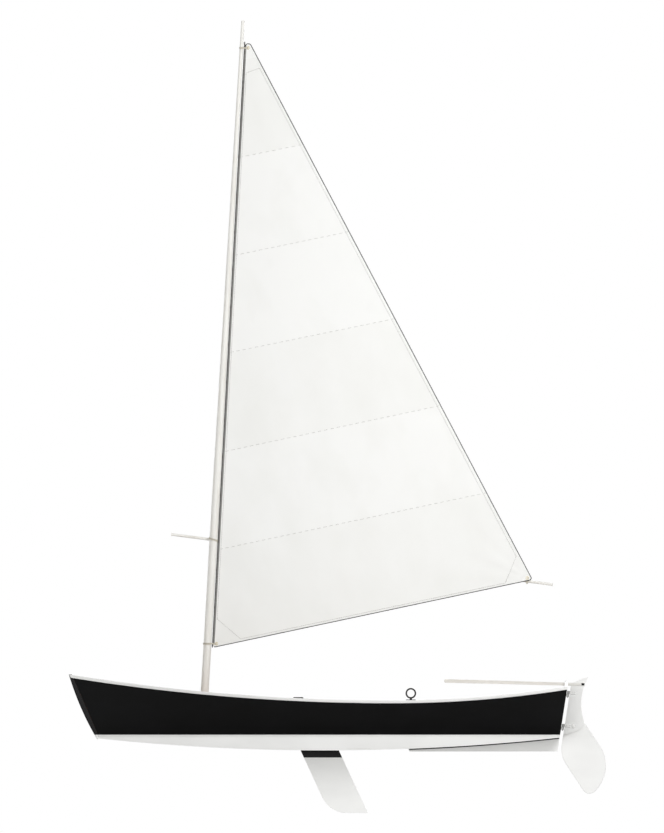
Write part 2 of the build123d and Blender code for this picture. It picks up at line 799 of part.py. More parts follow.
# Rudder blade's outline in profile; the core's foot is an arc about the pivot, and a tangent to
# it that leans as the blade's trailing edge does at full kick-up
blade_head_radius = 65.0
blade_tip_radius = 62.0
blade_corner_radius = 210.0
blade_neck = (20.0, -30.0)  # from the pivot to where the neck leaves the round head
blade_corner_z = -144.8
blade_tip = (-2192.3, -485.4)
blade_trail_mid = (-2341.0, -222.0)
blade_trail_high = (-2297.6, -74.0)
blade_shoulder = (-2166.0, 121.0)
blade_shoulder_in = (-2120.0, 134.0)
edge_fall = blade_trail_high[1] - blade_shoulder[1]
edge_run = blade_trail_high[0] - blade_shoulder[0]
raised_edge = math.degrees(math.atan2(edge_fall, edge_run)) - blade_kick_up

with BuildPart() as rudder_core:
    extrude(head_sketch(), amount=core_thickness / 2, both=True)
    extrude(tiller_sketch(mortise_clearance), amount=past_side, both=True, mode=Mode.SUBTRACT)
    with BuildSketch(Plane.XZ):
        with Locations(pivot):
            Circle(core_arc_radius)
            Rectangle(
                3 * core_arc_radius,
                2 * core_arc_radius,
                rotation=raised_edge,
                align=(Align.MIN, Align.CENTER),
            )
        with Locations((pivot[0], pivot[1] - 2 * core_arc_radius)):
            Rectangle(4 * core_arc_radius, 4 * core_arc_radius)
    extrude(amount=past_side, both=True, mode=Mode.SUBTRACT)
keep("rudder_core", rudder_core)

# Tiller: through the head's mortise, with a strap on each side of the head joined ahead of it
strap_inner_y = core_thickness / 2 + cheek_thickness + strap_clearance
strap_outer_y = strap_inner_y + tiller_strap[0]
yoke_aft_x = rudder_front_at(tiller_strap_z - tiller_strap[1] / 2) + strap_clearance
with BuildPart() as tiller:
    extrude(tiller_sketch(0), amount=tiller_width / 2, both=True)
    fillet(tiller.edges().filter_by(Axis.Y).group_by(Axis.X)[-1], radius=tiller_nose)
    for aft_x, inner_y in ((tiller_aft[0], strap_inner_y), (yoke_aft_x, 0)):
        middle = ((aft_x + tiller_strap_fore_x) / 2, (inner_y + strap_outer_y) / 2)
        with BuildSketch(Plane.XY.offset(tiller_strap_z)):
            with Locations(middle, (middle[0], -middle[1])):
                Rectangle(tiller_strap_fore_x - aft_x, strap_outer_y - inner_y)
        extrude(amount=tiller_strap[1] / 2, both=True)
keep("tiller", tiller)

# Rudder blade: round about its pivot between the cheeks, swept below
with BuildPart() as rudder_blade:
    with BuildSketch(Plane.XZ) as blade_region:
        with BuildLine():
            trailing = ThreePointArc(blade_tip, blade_trail_mid, blade_trail_high)
            Polyline(
                trailing @ 1,
                blade_shoulder,
                blade_shoulder_in,
                (pivot[0] + blade_neck[0], pivot[1]),
                (rudder_front_at(pivot[1] + blade_neck[1]), pivot[1] + blade_neck[1]),
                (rudder_front_at(blade_corner_z), blade_corner_z),
                trailing @ 0,
            )
        make_face()
        with Locations(pivot):
            Circle(blade_head_radius)
            Circle(pivot_bolt / 2 + pin_clearance, mode=Mode.SUBTRACT)
    extrude(amount=blade_thickness / 2, both=True)
    low_edges = rudder_blade.edges().filter_by(Axis.Y).sort_by(Axis.Z)
    fillet(low_edges[1], radius=blade_corner_radius)
    fillet(rudder_blade.edges().filter_by(Axis.Y).sort_by(Axis.Z)[0], radius=blade_tip_radius)
keep("rudder_blade", rudder_blade)

with BuildPart() as rudder_pivot:
    bolt_half = core_thickness / 2 + cheek_thickness
    with BuildSketch(Plane.XZ):
        with Locations(pivot):
            Circle(pivot_bolt / 2)
    extrude(amount=bolt_half, both=True)
    for side in SIDES.values():
        stack_y = bolt_half
        for (width, height), flats in ((pivot_washer, taper_flats), (pivot_nut, 6)):
            with BuildSketch(Plane(origin=(pivot[0], side * stack_y, pivot[1]), z_dir=(0, side, 0))):
                RegularPolygon(width / 2, flats)
            extrude(amount=height)
            stack_y += height
keep("rudder_pivot_bolt", rudder_pivot)

# Gudgeons on the transom and pintles on the rudder, two of each on the pintle axis
with BuildPart() as gudgeons:
    for z in gudgeon_heights:
        height_plane = pintle_plane.offset(z / math.cos(math.radians(transom_rake)))
        with BuildSketch(height_plane):
            with Locations((pintle_offset - strap_thickness / 2, 0)):
                Rectangle(strap_thickness, gudgeon_arm)
            with Locations((pintle_offset / 2, 0)):
                Rectangle(pintle_offset, gudgeon_outer * web_share)
            Circle(gudgeon_outer / 2)
            Circle(pintle_pin / 2 + pin_clearance, mode=Mode.SUBTRACT)
        extrude(amount=gudgeon_height)
keep("gudgeons", gudgeons)

strap_y = core_thickness / 2 + cheek_thickness
with BuildPart() as pintles:
    for z in gudgeon_heights:
        lug_base = z / math.cos(math.radians(transom_rake)) + gudgeon_height + pintle_lug_gap
        with BuildSketch(pintle_plane.offset(lug_base)):
            Circle(gudgeon_outer / 2)
            with Locations((-rudder_front / 2, 0)):
                Rectangle(rudder_front, gudgeon_outer * web_share)
            with Locations((-rudder_front + strap_thickness / 2, 0)):
                Rectangle(strap_thickness, 2 * strap_y + 2 * strap_thickness)
            for side in SIDES.values():
                strap_x = strap_thickness - rudder_front - strap_length / 2
                with Locations((strap_x, side * (strap_y + strap_thickness / 2))):
                    Rectangle(strap_length, strap_thickness)
        extrude(amount=gudgeon_height)
        with BuildSketch(pintle_plane.offset(lug_base)):
            Circle(pintle_pin / 2)
        extrude(amount=-gudgeon_height - pintle_tail)
keep("pintles", pintles)

# Rowlocks: a round bar ring on a pin, one in a socket on each gunwale
inwale_foot_z = sheer_height(rowlock_x) - inwale_depth
rowlock_y = half_breadth(rowlock_x, inwale_foot_z, plank + inwale_width) - socket_tube / 2
plate_base_z = sheer_height(rowlock_x - socket_plate[0] / 2)
plate_outer_y = half_breadth(rowlock_x, plate_base_z) + rail_width / 2
with BuildPart() as rowlock_sockets:
    for side in SIDES.values():
        with BuildSketch(Plane.XY.offset(plate_base_z)):
            with Locations((rowlock_x, side * (rowlock_y - socket_tube / 2 + plate_outer_y) / 2)):
                Rectangle(socket_plate[0], plate_outer_y - rowlock_y + socket_tube / 2)
        extrude(amount=socket_plate[1])
        with BuildSketch(Plane.XY.offset(plate_base_z)):
            with Locations((rowlock_x, side * rowlock_y)):
                Circle(socket_tube / 2 - seat_gap)
        extrude(amount=-socket_depth)
    plate_corners = rowlock_sockets.edges().filter_by(Axis.Z).filter_by(GeomType.LINE)
    chamfer(plate_corners.group_by(SortBy.LENGTH)[0], length=socket_corner)
    for side in SIDES.values():
        with BuildSketch(Plane.XY.offset(plate_base_z - socket_depth)):
            with Locations((rowlock_x, side * rowlock_y)):
                Circle(rowlock_pin / 2 + pin_clearance)
        extrude(amount=2 * socket_depth, mode=Mode.SUBTRACT)
keep("rowlock_sockets", rowlock_sockets)

collar_z = plate_base_z + socket_plate[1] + seat_gap
ring_plane = Plane(origin=(rowlock_x, rowlock_y, rowlock_ring_z), x_dir=(1, 0, 0), z_dir=(0, 1, 0))
pin_base = Plane(origin=(rowlock_x, rowlock_y, collar_z))
with BuildPart() as rowlock:
    with BuildSketch(ring_plane):
        RegularPolygon((rowlock_ring_diameter + rowlock_bar) / 2, ring_flats)
        RegularPolygon((rowlock_ring_diameter - rowlock_bar) / 2, ring_flats, mode=Mode.SUBTRACT)
    extrude(amount=rowlock_bar / 2, both=True)
    ring_rims = rowlock.edges().group_by(Axis.Y)
    chamfer(ring_rims[0] + ring_rims[-1], length=ring_bevel)
    with BuildSketch(pin_base):
        Circle(rowlock_pin / 2 + rowlock_collar)
    extrude(amount=rowlock_ring_z - rowlock_ring_diameter / 2 - collar_z)
    with BuildSketch(pin_base):
        Circle(rowlock_pin / 2)
    extrude(amount=-rowlock_pin_length)
keep_pair("rowlock", rowlock)

for piece_name, piece in pieces.items():
    export_step(piece, f"parts/{piece_name}.step")
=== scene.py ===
import bpy
import bmesh
import json
import math
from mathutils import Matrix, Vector, noise
from mathutils.bvhtree import BVHTree
from mathutils.geometry import delaunay_2d_cdt


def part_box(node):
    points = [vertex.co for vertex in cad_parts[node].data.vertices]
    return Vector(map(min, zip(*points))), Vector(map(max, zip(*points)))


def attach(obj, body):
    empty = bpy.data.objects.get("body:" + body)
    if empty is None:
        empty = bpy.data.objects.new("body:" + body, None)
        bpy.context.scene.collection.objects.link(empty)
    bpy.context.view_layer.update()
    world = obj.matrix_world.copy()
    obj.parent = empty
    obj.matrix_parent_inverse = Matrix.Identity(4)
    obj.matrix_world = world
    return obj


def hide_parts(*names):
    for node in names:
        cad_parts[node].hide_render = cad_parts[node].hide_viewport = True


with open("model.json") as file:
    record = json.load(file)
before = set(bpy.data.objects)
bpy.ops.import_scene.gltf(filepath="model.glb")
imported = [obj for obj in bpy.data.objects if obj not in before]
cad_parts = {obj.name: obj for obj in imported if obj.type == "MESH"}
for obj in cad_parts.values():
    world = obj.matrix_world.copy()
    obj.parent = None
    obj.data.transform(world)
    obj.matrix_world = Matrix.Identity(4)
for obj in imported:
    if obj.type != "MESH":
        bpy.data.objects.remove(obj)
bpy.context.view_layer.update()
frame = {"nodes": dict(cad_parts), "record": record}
record = frame["record"]
bodyOf = {node: body for body, nodes in record["behaviour"]["bodies"].items() for node in nodes}
slotOf = {part["node"]: part["material_slot"] for part in record["subparts"]}
print("frame loaded:", len(bodyOf), "nodes")

# Colours and node helpers


def linearHex(code):
    channels = [int(code[i:i + 2], 16) / 255 for i in (0, 2, 4)]
    curved = [c / 12.92 if c <= 0.04045 else ((c + 0.055) / 1.055) ** 2.4 for c in channels]
    return (*curved, 1.0)


def addNode(tree, kind, inputs=None, **settings):
    # An input is a plain value, or another node's output socket
    node = tree.nodes.new(kind)
    for name, value in settings.items():
        setattr(node, name, value)
    for socket, value in (inputs or {}).items():
        if isinstance(value, bpy.types.NodeSocket):
            tree.links.new(value, node.inputs[socket])
        else:
            node.inputs[socket].default_value = value
    return node


def newFinish(name, sockets):
    material = bpy.data.materials.new(name)
    material.use_nodes = True
    shader = material.node_tree.nodes["Principled BSDF"]
    for socket, value in sockets.items():
        shader.inputs[socket].default_value = value
    return material, material.node_tree, shader


def stretchedNoise(tree, coordinates, grainMm, detail=3.0, distortion=0.0):
    scale = tuple(1000 / size for size in grainMm)  # one pattern cell per so many millimetres
    mapped = addNode(tree, "ShaderNodeMapping", {"Vector": coordinates, "Scale": scale})
    inputs = {"Vector": mapped.outputs["Vector"], "Scale": 1.0, "Detail": detail, "Distortion": distortion}
    return addNode(tree, "ShaderNodeTexNoise", inputs).outputs["Fac"]


def toneRamp(tree, factor, stops):
    ramp = addNode(tree, "ShaderNodeValToRGB", {"Fac": factor})
    elements = ramp.color_ramp.elements
    while len(elements) < len(stops):
        elements.new(0.5)
    for element, (position, code) in zip(elements, stops):
        element.position = position
        element.color = linearHex(code)
    return ramp.outputs["Color"]


def coat(tree, shader, colour, pattern, roughness, relief, reliefMm, strength):
    # A finish's colour, its roughness between two values where a pattern varies it, and its relief
    tree.links.new(colour, shader.inputs["Base Color"])
    if pattern:
        inputs = {"Value": pattern, "To Min": roughness[0], "To Max": roughness[1]}
        spread = addNode(tree, "ShaderNodeMapRange", inputs)
        tree.links.new(spread.outputs["Result"], shader.inputs["Roughness"])
    inputs = {"Height": relief, "Distance": reliefMm / 1000, "Strength": strength}
    tree.links.new(addNode(tree, "ShaderNodeBump", inputs).outputs["Normal"], shader.inputs["Normal"])


# Finishes

paint = {
    "bootLineMm": 21.7,  # black above this height, white below
    "boardLineMm": -164.0,  # the same on the daggerboard when it is down
    "brushWidthMm": 2.2,
    "brushLengthMm": 260.0,
}


def brushedEnamel(name, tones, roughness, specular, splitMm=None, below=None):
    # Oil enamel laid off with a brush: long faint strokes, a slow change of tone and gloss
    material, tree, shader = newFinish(name, {"Specular IOR Level": specular})
    place = addNode(tree, "ShaderNodeTexCoord").outputs["Object"]
    slow = stretchedNoise(tree, place, (420, 260, 190), detail=2.0)
    colour = toneRamp(tree, slow, [(0.35, tones[0]), (0.65, tones[1])])
    if splitMm is not None:
        height = addNode(tree, "ShaderNodeSeparateXYZ", {"Vector": place}).outputs["Z"]
        over = addNode(tree, "ShaderNodeMath", {0: height, 1: splitMm / 1000}, operation="GREATER_THAN")
        lower = toneRamp(tree, slow, [(0.35, below[0]), (0.65, below[1])])
        inputs = {"Factor": over.outputs["Value"], 6: lower, 7: colour}  # a Mix node's colours are 6 and 7
        colour = addNode(tree, "ShaderNodeMix", inputs, data_type="RGBA").outputs[2]
    strokeMm = (paint["brushLengthMm"], paint["brushWidthMm"], paint["brushWidthMm"])
    strokes = stretchedNoise(tree, place, strokeMm, detail=2.0)
    gloss = (roughness * 0.85, roughness * 1.2)
    coat(tree, shader, colour, slow, gloss, strokes, reliefMm=0.15, strength=0.35)
    return material


timber = {"bandMm": 26.0, "bandLengthMm": 620.0, "poreMm": 1.4, "poreLengthMm": 34.0}


def grainedTimber(name, tones, grain, roughness, specular=0.5):
    # Planed and varnished timber: long growth bands and short dark pores along the grain
    material, tree, shader = newFinish(name, {"Specular IOR Level": specular})
    place = addNode(tree, "ShaderNodeTexCoord").outputs["Object"]
    bandMm, poreMm = [timber["bandMm"]] * 3, [timber["poreMm"]] * 3
    bandMm["xyz".index(grain)] = timber["bandLengthMm"]
    poreMm["xyz".index(grain)] = timber["poreLengthMm"]
    bands = stretchedNoise(tree, place, bandMm, detail=4.0, distortion=0.7)
    pores = stretchedNoise(tree, place, poreMm, detail=2.0)
    colour = toneRamp(tree, bands, [(0.30, tones[0]), (0.50, tones[1]), (0.68, tones[2])])
    dark = addNode(tree, "ShaderNodeMapRange", {"Value": pores, "To Min": 0.80, "To Max": 1.12})
    inputs = {0: colour, "Scale": dark.outputs["Result"]}
    shaded = addNode(tree, "ShaderNodeVectorMath", inputs, operation="SCALE").outputs["Vector"]
    gloss = (roughness * 0.8, roughness * 1.25)
    coat(tree, shader, shaded, bands, gloss, pores, reliefMm=0.12, strength=0.4)
    return material


def castMetal(name, tones, roughness, metallic, specular):
    # Sand-cast and tumbled fitting: fine pitting and blotches of patina
    material, tree, shader = newFinish(name, {"Metallic": metallic, "Specular IOR Level": specular})
    place = addNode(tree, "ShaderNodeTexCoord").outputs["Object"]
    blotch = stretchedNoise(tree, place, (14, 14, 14), detail=4.0)
    pits = stretchedNoise(tree, place, (0.9, 0.9, 0.9))
    colour = toneRamp(tree, blotch, [(0.35, tones[0]), (0.68, tones[1])])
    gloss = (roughness * 0.8, roughness * 1.3)
    coat(tree, shader, colour, blotch, gloss, pits, reliefMm=0.08, strength=0.4)
    return material


cloth = {
    "threadMm": 1.6,  # real threads are 0.3 mm, drawn coarser so that the weave shows close up
    "panelMm": 771.0,  # from seam to seam across the cut
    "panelFromMm": 770.0,
}


def wovenSailcloth(name, tones):
    # Heat-set woven polyester: crisp, matt, with a slight gloss from the resin fill
    sockets = {"Specular IOR Level": 0.35, "Sheen Weight": 0.12, "Sheen Roughness": 0.5}
    material, tree, shader = newFinish(name, sockets)
    flat = addNode(tree, "ShaderNodeUVMap", uv_map="cut").outputs["UV"]
    panel = addNode(tree, "ShaderNodeSeparateXYZ", {"Vector": flat}).outputs["Y"]
    first, width = cloth["panelFromMm"] / 1000, cloth["panelMm"] / 1000
    for operation, value in (("SUBTRACT", first), ("DIVIDE", width), ("FLOOR", 0.0)):
        panel = addNode(tree, "ShaderNodeMath", {0: panel, 1: value}, operation=operation).outputs[0]
    bolt = addNode(tree, "ShaderNodeTexWhiteNoise", {"W": panel}, noise_dimensions="1D").outputs["Value"]
    slow = stretchedNoise(tree, flat, (300, 500, 300))
    both = addNode(tree, "ShaderNodeMath", {0: bolt, 1: slow, 2: slow}, operation="MULTIPLY_ADD")
    colour = toneRamp(tree, both.outputs[0], [(0.3, tones[0]), (0.9, tones[1])])
    scale = math.pi / 20 / (cloth["threadMm"] / 1000)  # a wave is two threads, 2 pi / 20 of its unit
    weave = []
    for direction in ("X", "Y"):
        inputs = {"Vector": flat, "Scale": scale}
        wave = addNode(tree, "ShaderNodeTexWave", inputs, wave_type="BANDS", bands_direction=direction)
        weave.append(wave.outputs["Fac"])
    crossed = addNode(tree, "ShaderNodeMath", {0: weave[0], 1: weave[1]}, operation="MAXIMUM")
    coat(tree, shader, colour, slow, (0.52, 0.66), crossed.outputs[0], reliefMm=0.10, strength=0.25)
    return material


def laidFibre(name, tones, roughness):
    # Three-strand rope and thread: matt yarns that lie along each strand
    material, tree, shader = newFinish(name, {"Specular IOR Level": 0.25, "Roughness": roughness})
    place = addNode(tree, "ShaderNodeTexCoord").outputs["Object"]
    yarns = stretchedNoise(tree, place, (1.1, 1.1, 7.0))
    colour = toneRamp(tree, yarns, [(0.3, tones[0]), (0.7, tones[1])])
    coat(tree, shader, colour, None, None, yarns, reliefMm=0.25, strength=0.6)
    return material


blacks, whites, inside = ("050505", "080809"), ("EDEDEB", "F2F2F0"), ("DEDACE", "E6E3DA")
spruce = ("E4E1DA", "ECEAE5", "F1F0EC")
mahogany = ("6B3A1E", "8A4C28", "A8683C")
finish = {
    "blackTopside": brushedEnamel("blackTopsideEnamel", blacks, 0.32, 0.14, paint["bootLineMm"], whites),
    "whiteEnamel": brushedEnamel("whiteGlossEnamel", whites, 0.34, 0.40),
    "insidePaint": brushedEnamel("insideSatinPaint", inside, 0.50, 0.40),
    "boardPaint": brushedEnamel("boardEnamel", blacks, 0.34, 0.16, paint["boardLineMm"], whites),
    "blackEnamel": brushedEnamel("blackFittingEnamel", blacks, 0.34, 0.16),
    "rudderPaint": brushedEnamel("rudderEnamel", whites, 0.36, 0.40),
    "mahoganyX": grainedTimber("varnishedMahoganyAlong", mahogany, "x", 0.22),
    "mahoganyY": grainedTimber("varnishedMahoganyAcross", mahogany, "y", 0.22),
    "spruceX": grainedTimber("limedSpruceAlong", spruce, "x", 0.42, 0.25),
    "spruceZ": grainedTimber("limedSpruceUpright", spruce, "z", 0.42, 0.25),
    "darkBronze": castMetal("darkPatinatedBronze", ("0C0B0A", "171512"), 0.48, 0.10, 0.30),
    "paleSteel": castMetal("satinStainless", ("BEBEBC", "CFCFCD"), 0.50, 0.9, 0.5),
    "brass": castMetal("pressedBrass", ("B7A36A", "CBB87E"), 0.32, 0.9, 0.5),
    "sailcloth": wovenSailcloth("wovenPolyesterSailcloth", ("EBEBE8", "F0F0EE")),
    "webbing": wovenSailcloth("greyLuffWebbing", ("72716F", "848381")),
    "thread": laidFibre("stitchingThread", ("8C8A86", "A5A39E"), 0.8),
    "tarredRope": laidFibre("tarredLuffRope", ("45433F", "66635F"), 0.85),
    "darkCord": laidFibre("tarredHemCord", ("1C1B19", "343230"), 0.85),
    "paleRope": laidFibre("paleLashingLine", ("C9C3B4", "DDD8CB"), 0.8),
}
print("finishes made:", len(finish))

# Camera and light: a flat side view from the port side

sight = {"pixelMm": 8.14, "imageHeight": 833, "centreX": -0.1123, "centreZ": 2.6121, "distance": 12.0}
lightAim = (-0.1, 0.0, 1.6)
softboxes = (  # name, place, width and height, watts
    ("portKey", (-5.0, 14.0, 8.5), (7.0, 7.0), 1100),
    ("portFill", (-0.5, 15.0, 2.6), (10.0, 5.0), 480),
    ("starboardKey", (-5.0, -14.0, 8.5), (7.0, 7.0), 950),
    ("starboardFill", (9.5, -12.0, 3.0), (9.0, 5.0), 560),
    ("topSoftbox", (0.3, 0.2, 11.5), (5.0, 5.0), 150),
)
sky = {"seen": 1.0, "above": 0.29, "below": 0.66}  # strengths for what is seen, and for plain light


def setView():
    scene = bpy.context.scene
    camera = bpy.data.cameras.new("sideView")
    camera.type = "ORTHO"
    camera.ortho_scale = sight["pixelMm"] * sight["imageHeight"] / 1000
    camera.clip_end = 200
    holder = bpy.data.objects.new("sideView", camera)
    holder.location = (sight["centreX"], sight["distance"], sight["centreZ"])
    holder.rotation_euler = (math.pi / 2, 0, math.pi)
    scene.collection.objects.link(holder)
    scene.camera = holder
    scene.view_settings.view_transform = "Standard"


def setLight():
    scene = bpy.context.scene
    for name, place, size, watts in softboxes:
        light = bpy.data.lights.new(name, "AREA")
        light.shape = "RECTANGLE"
        light.size, light.size_y = size
        light.energy = watts
        holder = bpy.data.objects.new(name, light)
        holder.location = place
        aim = Vector(lightAim) - Vector(place)
        holder.rotation_euler = aim.to_track_quat("-Z", "Y").to_euler()
        holder.visible_camera = False
        scene.collection.objects.link(holder)
    world = bpy.data.worlds.new("studioWhite")
    world.use_nodes = True
    scene.world = world
    tree = world.node_tree
    rays = addNode(tree, "ShaderNodeLightPath").outputs
    direction = addNode(tree, "ShaderNodeTexCoord").outputs["Generated"]
    height = addNode(tree, "ShaderNodeSeparateXYZ", {"Vector": direction}).outputs["Z"]
    inputs = {"Value": height, "From Min": -0.08, "From Max": 0.08}
    inputs.update({"To Min": sky["below"], "To Max": sky["above"]})
    plain = addNode(tree, "ShaderNodeMapRange", inputs).outputs["Result"]
    seen = rays["Is Camera Ray"]
    for kind in ("Is Glossy Ray", "Is Transmission Ray"):
        seen = addNode(tree, "ShaderNodeMath", {0: seen, 1: rays[kind]}, operation="MAXIMUM").outputs[0]
    level = addNode(tree, "ShaderNodeMix", {0: seen, 2: plain, 3: sky["seen"]}).outputs[0]
    tree.links.new(level, tree.nodes["Background"].inputs["Strength"])
    tree.nodes["Background"].inputs["Color"].default_value = (1, 1, 1, 1)


setView()
setLight()
print("camera and softboxes placed")

# Mesh helpers


def newPiece(name, vertices, faces, edges=()):
    mesh = bpy.data.meshes.new(name)
    mesh.from_pydata([tuple(v) for v in vertices], edges, faces)
    mesh.update()
    piece = bpy.data.objects.new(name, mesh)
    bpy.context.scene.collection.objects.link(piece)
    return piece


def cleanMesh(piece, mergeMm=0.01, coplanarDegrees=None):
    work = bmesh.new()
    work.from_mesh(piece.data)
    bmesh.ops.remove_doubles(work, verts=work.verts, dist=mergeMm / 1000)
    if coplanarDegrees:
        limit = math.radians(coplanarDegrees)
        bmesh.ops.dissolve_limit(work, angle_limit=limit, verts=work.verts, edges=work.edges)
    bmesh.ops.recalc_face_normals(work, faces=work.faces)
    work.to_mesh(piece.data)
    work.free()


def applyModifiers(piece):
    bpy.context.view_layer.update()
    evaluated = piece.evaluated_get(bpy.context.evaluated_depsgraph_get())
    made = bpy.data.meshes.new_from_object(evaluated)
    old = piece.data
    piece.modifiers.clear()
    piece.data = made
    bpy.data.meshes.remove(old)
    made.name = piece.name


def smooth(piece, sharpDegrees=35):
    piece.data.shade_smooth()
    piece.data.set_sharp_from_angle(angle=math.radians(sharpDegrees))


def roundEdges(piece, radiusMm, segments=2, fromDegrees=32):
    bevel = piece.modifiers.new("roundedEdges", "BEVEL")
    bevel.width = radiusMm / 1000
    bevel.segments = segments
    bevel.limit_method = "ANGLE"
    bevel.angle_limit = math.radians(fromDegrees)
    bevel.use_clamp_overlap = True
    bevel.miter_outer = "MITER_ARC"
    piece.data.shade_smooth()
    weighted = piece.modifiers.new("flatFaces", "WEIGHTED_NORMAL")
    weighted.keep_sharp = True
    applyModifiers(piece)


def paintFaces(piece, finishNames, pick=None):
    # pick gives a face the number of its finish in the list
    piece.data.materials.clear()
    for name in finishNames:
        piece.data.materials.append(finish[name])
    if pick:
        for face in piece.data.polygons:
            face.material_index = pick(face)


def settle(piece, body, slot, *nodes):
    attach(piece, body)
    if nodes:
        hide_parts(*nodes)
    return piece


def meshOfNode(node):
    source = frame["nodes"][node].data
    return [v.co.copy() for v in source.vertices], [tuple(face.vertices) for face in source.polygons]


def treeOf(node):
    return BVHTree.FromPolygons(*meshOfNode(node))


def castOn(bvh, origin, direction):
    # Where a ray first meets a node's surface, and the way that the surface faces there
    place, normal, _, _ = bvh.ray_cast(Vector(origin), Vector(direction))
    if place is None:
        return None
    return place, (-normal if normal.dot(Vector(direction)) > 0 else normal)


def lathe(name, profile, axisPoint, axis, segments=48):
    # profile holds (distance along the axis, radius) from one end to the other
    axis = Vector(axis).normalized()
    across = axis.cross(Vector((0, 1, 0))).normalized()
    side = axis.cross(across)
    vertices, faces = [], []
    for along, radius in profile:
        for k in range(segments):
            turn = 2 * math.pi * k / segments
            offset = across * math.cos(turn) + side * math.sin(turn)
            vertices.append(Vector(axisPoint) + axis * along + offset * radius)
    for row in range(len(profile) - 1):
        for k in range(segments):
            a, b = row * segments + k, row * segments + (k + 1) % segments
            faces.append((a, b, b + segments, a + segments))
    faces.append(tuple(range(segments))[::-1])
    faces.append(tuple(range(len(vertices) - segments, len(vertices))))
    piece = newPiece(name, vertices, faces)
    cleanMesh(piece)
    smooth(piece)
    return piece


# Geometry Nodes trees


def newTree(name, sockets):
    tree = bpy.data.node_groups.new(name, "GeometryNodeTree")
    tree.interface.new_socket("Geometry", in_out="INPUT", socket_type="NodeSocketGeometry")
    for label, kind in sockets:
        tree.interface.new_socket(label, in_out="INPUT", socket_type="NodeSocket" + kind)
    tree.interface.new_socket("Geometry", in_out="OUTPUT", socket_type="NodeSocketGeometry")
    return tree, addNode(tree, "NodeGroupInput").outputs


def finishTree(tree, geometry, material):
    real = addNode(tree, "GeometryNodeRealizeInstances", {"Geometry": geometry}).outputs["Geometry"]
    coated = addNode(tree, "GeometryNodeSetMaterial", {"Geometry": real, "Material": material})
    addNode(tree, "NodeGroupOutput", {"Geometry": coated.outputs["Geometry"]})
    return tree


def placeOnPoints(tree, points, item, rotation, material):
    shape = addNode(tree, "GeometryNodeObjectInfo", {"Object": item}).outputs["Geometry"]
    inputs = {"Points": points, "Instance": shape, "Rotation": rotation}
    placed = addNode(tree, "GeometryNodeInstanceOnPoints", inputs)
    return finishTree(tree, placed.outputs["Instances"], material)


def readFacing(tree):
    # The way that each point's cloth or fitting faces
    inputs = {"Name": "facing"}
    named = addNode(tree, "GeometryNodeInputNamedAttribute", inputs, data_type="FLOAT_VECTOR")
    return named.outputs["Attribute"]


def evenLine(tree, mesh, spacing):
    line = addNode(tree, "GeometryNodeMeshToCurve", {"Mesh": mesh}).outputs["Curve"]
    inputs = {"Curve": line, "Length": spacing}
    return addNode(tree, "GeometryNodeResampleCurve", inputs, mode="LENGTH").outputs["Curve"]


def fittingTree():
    # One small fitting on each point, its top along the point's facing, turned at random about it
    tree, given = newTree("fittingsOnPoints", (("Fitting", "Object"), ("Finish", "Material")))
    upright = addNode(tree, "FunctionNodeAlignRotationToVector", {"Vector": readFacing(tree)}, axis="Z")
    inputs = {0: (0, 0, 0), 1: (0, 0, math.pi), "Seed": 7}
    spin = addNode(tree, "FunctionNodeRandomValue", inputs, data_type="FLOAT_VECTOR")
    turned = addNode(tree, "FunctionNodeEulerToRotation", {"Euler": spin.outputs[0]})
    inputs = {"Rotation": upright.outputs[0], "Rotate By": turned.outputs[0]}
    rotation = addNode(tree, "FunctionNodeRotateRotation", inputs, rotation_space="LOCAL")
    return placeOnPoints(tree, given["Geometry"], given["Fitting"], rotation.outputs[0], given["Finish"])


def stitchTree():
    # Stitches at an even spacing along a line, flat to the cloth
    sockets = (("Stitch", "Object"), ("Spacing", "Float"), ("Finish", "Material"))
    tree, given = newTree("stitchesAlongLine", sockets)
    even = evenLine(tree, given["Geometry"], given["Spacing"])
    tangent = addNode(tree, "GeometryNodeInputTangent").outputs["Tangent"]
    along = addNode(tree, "FunctionNodeAlignRotationToVector", {"Vector": tangent}, axis="X")
    inputs = {"Rotation": along.outputs[0], "Vector": readFacing(tree)}
    flat = addNode(tree, "FunctionNodeAlignRotationToVector", inputs, axis="Z", pivot_axis="X")
    return placeOnPoints(tree, even, given["Stitch"], flat.outputs[0], given["Finish"])


strand = {"perRope": 3, "radiusShare": 0.232, "helixShare": 0.268, "stepShare": 0.1, "sides": 6}


